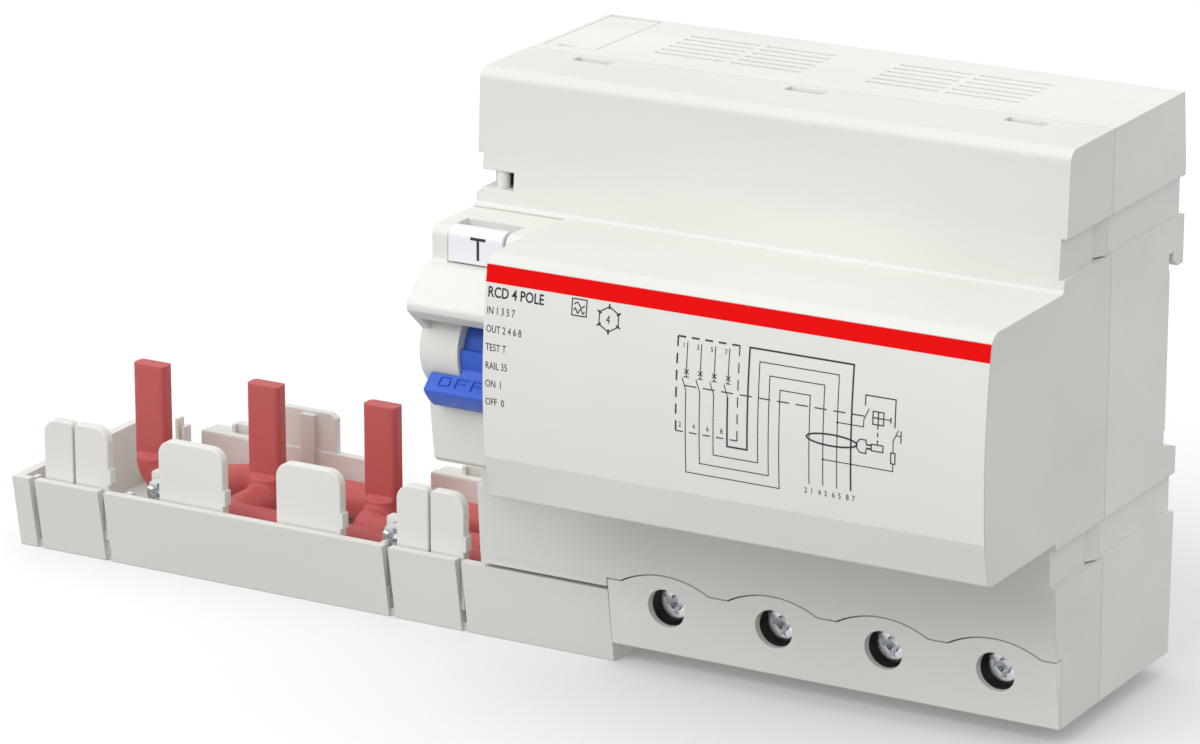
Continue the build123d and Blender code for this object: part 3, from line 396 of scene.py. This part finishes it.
@dataclass(frozen=True)
class WoundCopper:
    """Enamelled copper wire laid turn by turn round a ring, with painted shade darkening the grooves
    between turns.
    """

    name: str
    colour: Colour
    turn: float = 0.4 * MM

    def make(self) -> bpy.types.Material:
        """Build the finish's nodes and return its material."""
        g = Graph(self.name)
        wave = g.add("ShaderNodeTexWave", wave_type="RINGS", rings_direction="X")
        g.join(g.place, wave.inputs["Vector"])
        wave.inputs["Scale"].default_value = 1 / self.turn / 6
        wave.inputs["Distortion"].default_value = 0.6
        # painted shade: each turn darkens towards the grooves between turns, where the bump is lowest
        dark = tuple(c * 0.45 for c in self.colour)
        body = g.blend(wave.outputs["Fac"], dark, self.colour)
        rough = g.span(wave.outputs["Fac"], 0.0, 1.0, 0.45, 0.25)
        return g.dress(Base_Color=body, Roughness=rough, Metallic=1.0,
                       Normal=g.bump(wave.outputs["Fac"], 0.08 * MM), Coat_Weight=0.4)


@dataclass(frozen=True)
class BoardLaminate:
    """Solder-masked laminate with copper tracks showing through the mask."""

    name: str
    colour: Colour = (0.02, 0.16, 0.07)

    def make(self) -> bpy.types.Material:
        """Build the finish's nodes and return its material."""
        g = Graph(self.name)
        tracks = g.add("ShaderNodeTexBrick")
        g.join(g.place, tracks.inputs["Vector"])
        tracks.inputs["Scale"].default_value = 220
        tracks.inputs["Mortar Size"].default_value = 0.03
        weave = g.noise(0.6 * MM, 2.0)
        pale = tuple(c * 1.9 for c in self.colour)
        body = g.blend(tracks.outputs["Fac"], self.colour, pale)
        body = g.blend(g.span(weave, 0.3, 0.7, 0.0, 0.3), body, tuple(c * 0.6 for c in self.colour))
        rough = g.span(weave, 0.3, 0.7, 0.25, 0.4)
        return g.dress(Base_Color=body, Roughness=rough,
                       Normal=g.bump(tracks.outputs["Fac"], 0.03 * MM), Coat_Weight=0.3)


class Look(Enum):
    """Finishes of the block, one for each kind of surface."""

    REAR = MouldedPlastic("housing_rear_plastic", (0.80, 0.80, 0.755))
    FRONT = MouldedPlastic("housing_front_plastic", (0.76, 0.76, 0.72))
    MODULE = MouldedPlastic("module_plastic", (0.80, 0.79, 0.745), roughness=0.46)
    TRAY = MouldedPlastic("tray_plastic", (0.76, 0.76, 0.72), roughness=0.5)
    SHIELD = MouldedPlastic("shield_plastic", (0.78, 0.78, 0.74), roughness=0.44)
    BUTTON = MouldedPlastic("button_plastic", (0.86, 0.88, 0.93), roughness=0.30, variation=0.015)
    BLUE = MouldedPlastic("toggle_plastic", (0.045, 0.13, 0.62), roughness=0.40, variation=0.08,
                          edge_lift=0.12, gloss=0.3)
    LATCH = MouldedPlastic("latch_plastic", (0.14, 0.15, 0.16), roughness=0.5, variation=0.08)
    DARK = MouldedPlastic("relay_plastic", (0.05, 0.055, 0.06), roughness=0.42, variation=0.1)
    LABEL = PrintedFilm("label_film", (0.815, 0.815, 0.78))
    RED_INK = PrintInk("band_ink", (0.86, 0.0, 0.0), (0.80, 0.004, 0.004), roughness=0.6, gloss=0.12)
    BLACK_INK = PrintInk("line_ink", (0.012, 0.012, 0.014), (0.09, 0.09, 0.10))
    SHEATH = CableSheath("lead_sheath", (0.55, 0.10, 0.10))
    ZINC = PlatedMetal("screw_zinc", (0.78, 0.80, 0.83), roughness=0.24)
    STEEL = PlatedMetal("spring_steel", (0.55, 0.56, 0.58), roughness=0.32, brush=(0.2, 1.0, 1.0))
    CAGE = PlatedMetal("cage_zinc", (0.66, 0.68, 0.70), roughness=0.36, brush=(1.0, 1.0, 0.15))
    COPPER = PlatedMetal("bar_copper", (0.86, 0.44, 0.26), roughness=0.3, stain=(0.34, 0.16, 0.10),
                         brush=(1.0, 1.0, 0.12))
    CORE = PlatedMetal("core_strip", (0.40, 0.41, 0.43), roughness=0.42, brush=(6.0, 0.4, 0.4))
    WINDING = WoundCopper("winding_copper", (0.72, 0.33, 0.14))
    BOARD = BoardLaminate("board_laminate")


class Paintbox:
    """Makes each finish once and lays it on objects."""

    def __init__(self) -> None:
        """Start with no material made."""
        self.made: dict[Look, bpy.types.Material] = {}

    def material(self, look: Look) -> bpy.types.Material:
        """Return the finish's material, made the first time it is asked for."""
        if look not in self.made:
            self.made[look] = look.value.make()
        return self.made[look]

    def coat(self, obj: bpy.types.Object, look: Look) -> None:
        """Put one finish on every slot of an object.

        Args:
            obj: object to dress.
            look: finish it takes.
        """
        if not obj.data.materials:
            obj.data.materials.append(self.material(look))
        for place in range(len(obj.data.materials)):
            obj.data.materials[place] = self.material(look)


# ------------------------------------------------------------------------------ mesh helpers
class Kit:
    """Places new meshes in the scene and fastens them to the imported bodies."""

    def __init__(self, nodes: dict[str, bpy.types.Object], paint: Paintbox) -> None:
        """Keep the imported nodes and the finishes.

        Args:
            nodes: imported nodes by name.
            paint: finishes.
        """
        self.nodes = nodes
        self.paint = paint

    def dress_node(self, name: str, look: Look) -> None:
        """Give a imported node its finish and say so."""
        self.paint.coat(self.nodes[name], look)
        log.info("node %s takes %s", name, look.value.name)

    def place(self, name: str, mesh: bmesh.types.BMesh, look: Look, body: str, slot: str,
              smooth: bool = False, replaces: tuple[str, ...] = ()) -> bpy.types.Object:
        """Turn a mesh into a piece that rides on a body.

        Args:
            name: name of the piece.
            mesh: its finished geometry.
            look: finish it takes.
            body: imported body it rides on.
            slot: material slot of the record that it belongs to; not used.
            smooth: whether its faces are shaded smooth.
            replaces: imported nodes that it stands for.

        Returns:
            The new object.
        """
        bmesh.ops.recalc_face_normals(mesh, faces=mesh.faces)
        data = bpy.data.meshes.new(name)
        mesh.to_mesh(data)
        mesh.free()
        if smooth:
            data.shade_smooth()
        piece = bpy.data.objects.new(name, data)
        bpy.context.scene.collection.objects.link(piece)
        self.paint.coat(piece, look)
        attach(piece, body)
        if replaces:
            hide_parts(*replaces)
        log.info("piece %s rides on %s with %d faces", name, body, len(data.polygons))
        return piece


# ------------------------------------------------------------------------------ printed label
@dataclass
class LabelSurface:
    """Front of the label, a sheet that bows outwards between its upper and lower edge."""

    node: bpy.types.Object
    heights: np.ndarray = field(init=False)
    depths: np.ndarray = field(init=False)

    def __post_init__(self) -> None:
        """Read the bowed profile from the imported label."""
        front: dict[float, float] = {}
        for vertex in self.node.data.vertices:
            height = round(vertex.co.z, 6)
            front[height] = min(front.get(height, 1.0), vertex.co.y)
        self.heights = np.array(sorted(front))
        self.depths = np.array([front[h] for h in sorted(front)])

    def depth(self, height: float) -> float:
        """Return the place along Y of the label's face at a height."""
        return float(np.interp(height, self.heights, self.depths))


@dataclass
class InkPress:
    """Lays lines and letters of ink, as thin closed solids, on a face that looks towards -Y."""

    face: LabelSurface | float
    origin: Point
    thickness: float = 0.04 * MM
    sunk: float = 0.02 * MM
    step: float = 1.2 * MM
    mesh: bmesh.types.BMesh = field(default_factory=bmesh.new)

    def bowed(self) -> bool:
        """Say whether the face is the bowed label."""
        return isinstance(self.face, LabelSurface)

    def lift(self, x: float, z: float, out: float) -> Vector:
        """Return a point of the drawing on the face.

        Args:
            x: place across the drawing, in metres from its origin.
            z: height in the drawing, in metres from its origin.
            out: how far the point stands out of the face.

        Returns:
            The point in the row frame.
        """
        height = self.origin[1] + z
        depth = self.face.depth(height) if self.bowed() else self.face
        return Vector((self.origin[0] + x, depth - out, height))

    def strip(self, rails: list[tuple[Vector, Vector]], closed: bool = False) -> None:
        """Add a thin closed solid between two rails.

        Args:
            rails: pairs of points, left and right, along the strip.
            closed: whether the strip joins its own start.
        """
        rings = []
        for left, right in rails:
            corners = [(left, self.thickness), (right, self.thickness), (right, -self.sunk),
                       (left, -self.sunk)]
            rings.append([self.mesh.verts.new(self.lift(p.x, p.y, out)) for p, out in corners])
        spans = list(zip(rings, rings[1:]))
        if closed:
            spans.append((rings[-1], rings[0]))
        else:
            self.mesh.faces.new(rings[0])
            self.mesh.faces.new(list(reversed(rings[-1])))
        for near, far in spans:
            for i in range(4):
                j = (i + 1) % 4
                self.mesh.faces.new((near[i], far[i], far[j], near[j]))

    def line(self, points: list[Point], width: float, closed: bool = False) -> None:
        """Draw a line with mitred corners.

        Args:
            points: corners of the line in millimetres.
            width: width of the line in metres.
            closed: whether the line returns to its start.
        """
        corners = [Vector(p) * MM for p in points]
        count = len(corners)
        rails = []
        for i, corner in enumerate(corners):
            before = corners[i - 1] if i or closed else None
            after = corners[(i + 1) % count] if i < count - 1 or closed else None
            ways = [(b - a).normalized() for a, b in ((before, corner), (corner, after))
                    if a is not None and b is not None]
            along = sum(ways, Vector((0, 0))).normalized()
            across = Vector((-along.y, along.x))
            square = Vector((-ways[0].y, ways[0].x))
            across *= width / 2 / max(0.4, across.dot(square))
            rails.append((corner + across, corner - across))
        self.strip(self.divided(rails, closed), closed)

    def divided(self, rails: list[tuple[Vector, Vector]], closed: bool) -> list[tuple[Vector, Vector]]:
        """Add pairs along long stretches so that the strip can follow a bowed face.

        Args:
            rails: pairs at the corners.
            closed: whether the last pair leads back to the first.

        Returns:
            The pairs with those in between.
        """
        if not self.bowed():
            return rails
        result = []
        ends = rails[1:] + (rails[:1] if closed else [])
        for (left, right), (next_left, next_right) in zip(rails, ends):
            count = max(1, math.ceil(abs(next_left.y - left.y) / self.step))
            for i in range(count):
                share = i / count
                result.append((left.lerp(next_left, share), right.lerp(next_right, share)))
        if not closed:
            result.append(rails[-1])
        return result

    def dashes(self, start: Point, end: Point, width: float, dash: float, gap: float) -> None:
        """Draw a dashed straight line.

        Args:
            start: start in millimetres.
            end: end in millimetres.
            width: width of the line in metres.
            dash: length of a dash in millimetres.
            gap: length of a gap in millimetres.
        """
        way = Vector(end) - Vector(start)
        count = max(1, round((way.length + gap) / (dash + gap)))
        pitch = (way.length + gap) / count
        along = way.normalized()
        for i in range(count):
            first = Vector(start) + along * pitch * i
            last = first + along * (pitch - gap)
            self.line([tuple(first), tuple(last)], width)

    def letters(self, text: str, x: float, z: float, height: float, narrow: float = 0.86,
                weight: float = 0.0) -> None:
        """Set a line of plain letters, with its left end and foot at a point.

        Args:
            text: the letters.
            x: left end in millimetres.
            z: foot of the letters in millimetres.
            height: height of a capital in millimetres.
            narrow: width of the letters against their usual width.
            weight: extra thickness of the strokes, in shares of the height.
        """
        capital_share = 0.727
        curve = bpy.data.curves.new("letters", "FONT")
        curve.body = text
        curve.size = height * MM / capital_share
        curve.offset = weight * height * MM
        curve.extrude = self.thickness / 2
        curve.resolution_u = 3
        holder = bpy.data.objects.new("letters", curve)
        shape = bpy.data.meshes.new_from_object(holder)
        start = len(self.mesh.verts)
        self.mesh.from_mesh(shape)
        self.mesh.verts.ensure_lookup_table()
        for vertex in self.mesh.verts[start:]:
            out = self.thickness if vertex.co.z > 0 else -self.sunk
            vertex.co = self.lift(x * MM + vertex.co.x * narrow, z * MM + vertex.co.y, out)
        bpy.data.objects.remove(holder)
        bpy.data.meshes.remove(shape)
        bpy.data.curves.remove(curve)


@dataclass
class PrintedLabel:
    """Label film of the window with its band, rating lines, symbols and wiring diagram."""

    kit: Kit
    band_height: float = 3.1
    margin: float = 0.5
    hairline: float = 0.16 * MM
    fine: float = 0.20 * MM
    bold: float = 0.30 * MM
    pole_pitch: float = 2.72
    outgoing_pitch: float = 2.66
    diagram_left: float = 38.7
    diagram_height: float = -20.1
    title: str = "RCD 4 POLE"
    title_foot: float = -5.6
    title_size: float = 1.9
    words: tuple[str, ...] = ("IN 1 3 5 7", "OUT 2 4 6 8", "TEST T", "RAIL 35", "ON  I", "OFF  0")
    words_foot: float = -8.6
    words_size: float = 1.35
    words_pitch: float = 3.3
    wave_place: Point = (17.5, -3.55)
    wave_side: float = 2.9
    hexagon_place: Point = (24.9, -6.2)
    hexagon_radius: float = 2.2

    def __post_init__(self) -> None:
        """Find the label's box and its bowed face."""
        low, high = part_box("label_sheet")
        self.low = low
        self.high = high
        self.face = LabelSurface(self.kit.nodes["label_sheet"])

    def press(self, x: float = 0.0, z: float = 0.0) -> InkPress:
        """Return a press whose origin is the label's upper left corner, moved by x and z millimetres."""
        return InkPress(self.face, (self.low.x + x * MM, self.high.z + z * MM))

    def build(self) -> None:
        """Make every part of the label."""
        self.kit.dress_node("label_sheet", Look.LABEL)
        self.band()
        self.rating_lines()
        self.symbols()
        self.diagram()

    def band(self) -> None:
        """Print the red band along the upper edge."""
        press = self.press()
        width = (self.high.x - self.low.x) / MM
        rows = 3
        step = self.band_height / rows
        for i in range(rows):
            z = -step * (i + 0.5)
            press.line([(0.0, z), (width, z)], step * MM)
        bmesh.ops.remove_doubles(press.mesh, verts=press.mesh.verts, dist=0.001 * MM)
        self.kit.place("label_band", press.mesh, Look.RED_INK, "root", "label")

    def rating_lines(self) -> None:
        """Print plain lines that say which terminals are which."""
        press = self.press(self.margin, 0.0)
        press.letters(self.title, 0.0, self.title_foot, self.title_size, 0.80, 0.02)
        for i, words in enumerate(self.words):
            press.letters(words, 0.0, self.words_foot - self.words_pitch * i, self.words_size, 0.74)
        self.kit.place("label_words", press.mesh, Look.BLACK_INK, "root", "label")

    def symbols(self) -> None:
        """Print the wave in its square and the hexagon with the number of poles."""
        press = self.press(*self.wave_place)
        side = self.wave_side
        press.line([(0, 0), (side, 0), (side, -side), (0, -side)], self.fine, closed=True)
        for foot, swings in ((-1.0, 1), (-2.05, 2)):
            count = 12 * swings
            wave = [(0.4 + 2.1 * i / count, foot + 0.42 * math.sin(2 * math.pi * swings * i / count))
                    for i in range(count + 1)]
            press.line(wave, self.fine)
        across, height = self.hexagon_place
        press.origin = (self.low.x + across * MM, self.high.z + height * MM)
        corners = [(self.hexagon_radius * math.sin(math.radians(a)),
                    self.hexagon_radius * math.cos(math.radians(a))) for a in range(0, 360, 60)]
        tick = 0.45 / self.hexagon_radius
        press.line(corners, self.fine, closed=True)
        for x, z in corners:
            press.line([(x * (1 - tick), z * (1 - tick)), (x * (1 + tick), z * (1 + tick))], self.bold)
        press.letters("4", -0.55, -0.75, 1.5, 0.8)
        self.kit.place("label_symbols", press.mesh, Look.BLACK_INK, "root", "label")

    def diagram(self) -> None:
        """Print the wiring diagram."""
        press = self.press(self.diagram_left, self.diagram_height)
        self.breaker_box(press)
        for pole in range(4):
            self.pole(press, pole)
        self.summing_ring(press)
        self.trip_relay(press)
        self.test_circuit(press)
        self.kit.place("label_diagram", press.mesh, Look.BLACK_INK, "root", "label")

    def breaker_box(self, press: InkPress) -> None:
        """Draw the dashed outline of the breaker and the link between its contacts."""
        left, right, top, foot = 0.0, 12.0, 13.1, -3.7
        press.dashes((left, top), (right, top), self.bold, 1.3, 1.1)
        press.dashes((left, foot), (right, foot), self.fine, 1.3, 1.2)
        press.dashes((left, top), (left, foot), self.bold, 1.9, 1.2)
        press.dashes((right, top), (right, foot), self.fine, 1.9, 1.2)
        press.dashes((1.6, 4.6), (36.3, 4.6), self.fine, 2.3, 1.3)

    def pole(self, press: InkPress, pole: int) -> None:
        """Draw one pole: its contact, its loop round the block and its two numbers.

        Args:
            press: press that draws.
            pole: 0 for the first pole, on the left.
        """
        x = 1.9 + self.pole_pitch * pole
        press.line([(x, 12.3), (x, 6.1)], self.hairline)
        press.line([(x - 0.45, 7.5), (x + 0.45, 6.7)], self.hairline)
        press.line([(x + 0.45, 7.5), (x - 0.45, 6.7)], self.hairline)
        press.line([(x - 0.5, 6.15), (x + 0.5, 6.15)], self.hairline)
        press.line([(x - 0.8, 5.9), (x, 3.8)], self.hairline)
        foot = -11.0 + 2.0 * pole
        rise = 20.1 - 2.05 * pole
        top = 6.6 + 2.17 * pole
        drop = self.outgoing(pole)
        width = self.bold if pole == 3 else self.hairline
        press.line([(x, 3.8), (x, foot), (rise, foot), (rise, top), (drop, top), (drop, -9.1)], width)
        press.letters(str(2 * pole + 1), x - 0.95, 11.2, 0.95, 0.8)
        press.letters(str(2 * pole + 2), x - 1.35, -2.9, 0.95, 0.8)
        press.letters(f"{2 * pole + 2}", drop - 0.95, -10.9, 1.05, 0.8)
        press.letters(f"{2 * pole + 1}", drop + 0.2, -10.9, 1.05, 0.8)

    def outgoing(self, pole: int) -> float:
        """Return where a pole's outgoing line runs, in millimetres from the diagram's left edge."""
        return 25.9 + self.outgoing_pitch * pole

    def summing_ring(self, press: InkPress) -> None:
        """Draw the ring that the four lines pass through, and its coil."""
        count = 40
        ring = [(30.2 + 4.8 * math.cos(2 * math.pi * i / count),
                 -0.65 + 1.0 * math.sin(2 * math.pi * i / count)) for i in range(count)]
        press.line(ring, self.bold, closed=True)
        press.line([(36.75, -0.2), (36.75, 0.45), (35.6, 0.45), (35.0, -0.2), (35.0, -1.2),
                    (35.6, -1.9), (36.75, -1.9), (36.75, -1.2)], self.fine)
        press.line([(36.75, -0.35), (37.75, -0.35)], self.bold)
        press.line([(36.75, -1.0), (37.75, -1.0)], self.bold)
        press.line([(37.75, -0.1), (39.95, -0.1), (39.95, -1.25), (37.75, -1.25)], self.fine, closed=True)

    def trip_relay(self, press: InkPress) -> None:
        """Draw the relay that opens the breaker, with its auxiliary contact."""
        press.dashes((38.9, 3.4), (38.9, 0.0), self.fine, 0.7, 0.6)
        press.line([(37.9, 5.7), (39.95, 5.7), (39.95, 3.45), (37.9, 3.45)], self.fine, closed=True)
        press.line([(38.92, 5.7), (38.92, 3.45)], self.fine)
        press.line([(37.9, 4.6), (39.95, 4.6)], self.fine)
        press.line([(40.1, 4.6), (41.3, 4.6)], self.hairline)
        press.line([(41.3, 5.1), (41.3, 4.1)], self.fine)
        press.line([(36.4, 6.5), (36.4, 8.3), (42.1, 8.3), (42.1, 3.4)], self.fine)
        press.line([(37.1, 6.0), (36.2, 3.9), (36.2, 2.7), (self.outgoing(2), 2.7)], self.hairline)

    def test_circuit(self, press: InkPress) -> None:
        """Draw the test switch and its resistor."""
        press.line([(42.8, 3.1), (41.85, 1.1), (41.85, -1.05)], self.hairline)
        press.line([(43.3, 3.0), (43.3, 0.9)], self.fine)
        press.line([(42.4, 2.1), (43.3, 2.1)], self.hairline)
        press.line([(41.45, -1.05), (42.25, -1.05), (42.25, -2.95), (41.45, -2.95)], self.fine, closed=True)
        press.line([(41.85, -2.95), (41.85, -4.3), (self.outgoing(1), -4.3)], self.hairline)
        for x, z in ((self.outgoing(2), 2.7), (self.outgoing(1), -4.3)):
            press.line([(x - 0.17, z), (x + 0.17, z)], 0.34 * MM)


# ------------------------------------------------------------------------------ test button
@dataclass
class TestButton:
    """White push button with a printed letter."""

    kit: Kit
    stroke: float = 0.52 * MM
    letter_width: float = 3.1
    letter_height: float = 3.9
    letter_foot: float = 0.8
    letter_centre: float = 0.55

    def build(self) -> None:
        """Dress the button and print its letter."""
        self.kit.dress_node("test_button", Look.BUTTON)
        low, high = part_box("test_button")
        width = (high.x - low.x) / MM
        press = InkPress(low.y, (low.x, low.z), thickness=0.03 * MM)
        middle = width * self.letter_centre
        foot = self.letter_foot
        top = foot + self.letter_height
        half = self.letter_width / 2
        press.line([(middle - half, top), (middle + half, top)], self.stroke)
        press.line([(middle, top - self.stroke / MM / 2), (middle, foot)], self.stroke)
        self.kit.place("button_letter", press.mesh, Look.BLACK_INK, "test_button", "button_white")


# ------------------------------------------------------------------------------ springs
class Way(Enum):
    """Axes of the row frame that a spring can lie along."""

    DEPTH = 1
    HEIGHT = 2


@dataclass
class CoilSpring:
    """Round-wire compression spring, wound at the length of the imported spring.

    Args:
        kit: places the finished mesh.
        node: packed spring that it stands for.
        joint: joint that it would shorten with; not used.
        travel: how far that joint moves, in metres; not used.
        way: axis that the spring lies along.
        held_high: whether its higher end is the one that stays; not used.
        wire: radius of the wire in metres.
        turns: number of turns.
        steps: rings of points in one turn.
        sides: points in one ring.
    """

    kit: Kit
    node: str
    joint: str
    travel: float
    way: Way
    held_high: bool
    wire: float
    turns: int
    steps: int = 24
    sides: int = 10

    def build(self) -> None:
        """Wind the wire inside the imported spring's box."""
        low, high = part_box(self.node)
        along = self.way.value
        first, second = [axis for axis in range(3) if axis != along]
        radius = (high[first] - low[first]) / 2 - self.wire
        length = high[along] - low[along] - 2 * self.wire
        forward = Vector((0, 0, 0))
        forward[along] = 1.0
        mesh = bmesh.new()
        rings = []
        count = self.turns * self.steps
        for i in range(count + 1):
            turn = 2 * math.pi * i / self.steps
            out = Vector((0, 0, 0))
            out[first] = math.cos(turn)
            out[second] = math.sin(turn)
            centre = (low + high) / 2 + out * radius
            centre[along] = low[along] + self.wire + length * i / count
            rings.append(self.ring(mesh, centre, out, forward))
        for near, far in zip(rings, rings[1:]):
            for side in range(self.sides):
                after = (side + 1) % self.sides
                mesh.faces.new((near[side], near[after], far[after], far[side]))
        mesh.faces.new(rings[0])
        mesh.faces.new(list(reversed(rings[-1])))
        piece = self.kit.place(f"coil_of_{self.node}", mesh, Look.STEEL, "root", "steel", smooth=True,
                               replaces=(self.node,))
        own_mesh(piece)

    def ring(self, mesh: bmesh.types.BMesh, centre: Vector, out: Vector,
             forward: Vector) -> list[bmesh.types.BMVert]:
        """Add one ring of points round the wire.

        Args:
            mesh: mesh that takes the points.
            centre: middle of the wire.
            out: direction away from the spring's axis.
            forward: direction along the spring.

        Returns:
            The ring's points.
        """
        angles = [2 * math.pi * side / self.sides for side in range(self.sides)]
        return [mesh.verts.new(centre + (out * math.cos(angle) + forward * math.sin(angle)) * self.wire)
                for angle in angles]


@dataclass
class Springs:
    """Spring of the test button and springs of the two rail latches."""

    kit: Kit
    button_travel: float = 2.0 * MM
    button_wire: float = 0.35 * MM
    latch_travel: float = 3.5 * MM
    latch_wire: float = 0.25 * MM
    button_turns: int = 5
    latch_turns: int = 8

    def build(self) -> None:
        """Wind the three springs."""
        CoilSpring(self.kit, "test_spring", "test_press", self.button_travel, Way.DEPTH, True,
                   self.button_wire, self.button_turns).build()
        for side in ("left", "right"):
            CoilSpring(self.kit, f"latch_spring_{side}", f"latch_{side}_slide", self.latch_travel,
                       Way.HEIGHT, False, self.latch_wire, self.latch_turns).build()


# ------------------------------------------------------------------------------ whole block
@dataclass
class Housings:
    """Shells of the block and what closes them."""

    kit: Kit
    looks: dict[str, Look] = field(default_factory=lambda: {
        "rear_housing": Look.REAR, "front_housing": Look.FRONT, "terminal_cover": Look.REAR,
        "access_cover": Look.REAR, "toggle_housing": Look.MODULE, "sealing_post": Look.FRONT})

    def build(self) -> None:
        """Dress each shell."""
        for name, look in self.looks.items():
            self.kit.dress_node(name, look)


@dataclass
class Mechanism:
    """Toggle, trip train and latches."""

    kit: Kit
    looks: dict[str, Look] = field(default_factory=lambda: {
        "toggle_lever": Look.BLUE, "toggle_shaft": Look.STEEL,
        "trip_relay": Look.DARK, "relay_plunger": Look.STEEL, "trip_lever": Look.LATCH,
        "trip_pin": Look.STEEL, "access_pin": Look.STEEL,
        "rail_latch_left": Look.LATCH, "rail_latch_right": Look.LATCH})

    def build(self) -> None:
        """Dress each piece of the mechanism."""
        for name, look in self.looks.items():
            self.kit.dress_node(name, look)


@dataclass
class CurrentPath:
    """Conductors, busbars, clamps, screws and the current transformer with its circuit."""

    kit: Kit
    count: int = 4

    def build(self) -> None:
        """Dress each piece along the current's way and of the sensing circuit."""
        for i in range(1, self.count + 1):
            self.kit.dress_node(f"conductor_{i}", Look.SHEATH)
            self.kit.dress_node(f"busbar_{i}", Look.COPPER)
            self.kit.dress_node(f"cage_clamp_{i}", Look.CAGE)
            self.kit.dress_node(f"terminal_screw_{i}", Look.ZINC)
        inner = {"transformer_core": Look.CORE, "sense_winding": Look.WINDING,
                 "circuit_board": Look.BOARD, "test_resistor": Look.DARK,
                 "surge_capacitor": Look.DARK, "controller_chip": Look.DARK,
                 "aux_terminal": Look.LATCH, "aux_screws": Look.ZINC}
        for name, look in inner.items():
            self.kit.dress_node(name, look)


@dataclass
class ConnectionTray:
    """Tray at the left with its shields and screws."""

    kit: Kit

    def build(self) -> None:
        """Dress the tray and what stands in it."""
        self.kit.dress_node("connection_tray", Look.TRAY)
        self.kit.dress_node("tray_screws", Look.ZINC)
        for name in ("shield_pair_left", "shield_second", "shield_third", "shield_pair_right"):
            self.kit.dress_node(name, Look.SHIELD)


# ------------------------------------------------------------------------------ studio
@dataclass
class Studio:
    """Pale floor, soft light and the camera."""

    camera_place: tuple[float, float, float] = (442.6 * MM, -873.8 * MM, 291.8 * MM)
    azimuth: float = 29.807
    elevation: float = 17.311
    focal_length: float = 167.53
    sensor: float = 36.0
    floor_half: float = 6.0
    floor_gap: float = 0.05 * MM
    sky_above: float = 0.98
    sky_below: float = 0.40
    key_power: float = 0.37
    key_from: tuple[float, float, float] = (-0.20, -0.50, 0.50)
    key_spread: float = 45.0

    def build(self, floor_height: float) -> None:
        """Set up the floor, the light and the camera.

        Args:
            floor_height: height of the surface that the block stands on.
        """
        self.colours()
        self.floor(floor_height - self.floor_gap)
        self.light()
        self.camera()

    def colours(self) -> None:
        """Show the light as it falls, so that a white sheet is white."""
        bpy.context.scene.view_settings.view_transform = "Standard"

    def floor(self, height: float) -> None:
        """Lay a plain pale floor.

        Args:
            height: its height.
        """
        mesh = bmesh.new()
        bmesh.ops.create_grid(mesh, x_segments=8, y_segments=8, size=self.floor_half)
        data = bpy.data.meshes.new("studio_floor")
        mesh.to_mesh(data)
        mesh.free()
        floor = bpy.data.objects.new("studio_floor", data)
        floor.location.z = height
        floor.visible_diffuse = False
        bpy.context.scene.collection.objects.link(floor)
        g = Graph("floor_paint")
        cloud = g.noise(0.4, 1.0)
        body = g.blend(cloud, (0.90, 0.90, 0.90), (0.92, 0.92, 0.92))
        data.materials.append(g.dress(Base_Color=body, Roughness=0.9, Specular_IOR_Level=0.1))
        floor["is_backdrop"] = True

    def light(self) -> None:
        """Give a sky that is brighter above than below, and one broad soft key from the front."""
        world = bpy.data.worlds.new("studio_sky")
        world.use_nodes = True
        tree = world.node_tree
        sky = tree.nodes["Background"]
        sky.inputs["Color"].default_value = (1.0, 1.0, 1.0, 1.0)
        way = tree.nodes.new("ShaderNodeTexCoord")
        parts = tree.nodes.new("ShaderNodeSeparateXYZ")
        rise = tree.nodes.new("ShaderNodeMapRange")
        for key, number in zip(("From Min", "From Max", "To Min", "To Max"),
                               (-0.5, 0.8, self.sky_below, self.sky_above)):
            rise.inputs[key].default_value = number
        tree.links.new(way.outputs["Generated"], parts.inputs["Vector"])
        tree.links.new(parts.outputs["Z"], rise.inputs["Value"])
        tree.links.new(rise.outputs["Result"], sky.inputs["Strength"])
        bpy.context.scene.world = world
        lamp = bpy.data.lights.new("key_light", "SUN")
        lamp.energy = self.key_power * math.pi
        lamp.angle = math.radians(self.key_spread)
        holder = bpy.data.objects.new("key_light", lamp)
        holder.rotation_euler = Vector(self.key_from).to_track_quat("Z", "Y").to_euler()
        bpy.context.scene.collection.objects.link(holder)

    def camera(self) -> None:
        """Stand the camera at the viewing angle."""
        data = bpy.data.cameras.new("camera")
        data.lens = self.focal_length
        data.sensor_width = self.sensor
        data.sensor_fit = "HORIZONTAL"
        data.clip_start = 0.01
        data.clip_end = 50.0
        holder = bpy.data.objects.new("camera", data)
        holder.location = self.camera_place
        holder.rotation_euler = (math.radians(90 - self.elevation), 0.0, math.radians(self.azimuth))
        bpy.context.scene.collection.objects.link(holder)
        bpy.context.scene.camera = holder


def main() -> None:
    """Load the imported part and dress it."""
    logging.basicConfig(level=logging.INFO, format="%(message)s")
    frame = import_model()
    frame_low, frame_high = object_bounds()
    Studio().build(frame_low.z)
    kit = Kit(frame["nodes"], Paintbox())
    for assembly in (Housings(kit), PrintedLabel(kit), TestButton(kit), Mechanism(kit),
                     Springs(kit), CurrentPath(kit), ConnectionTray(kit)):
        log.info("building %s", type(assembly).__name__)
        assembly.build()


if __name__ == "__main__":
    main()
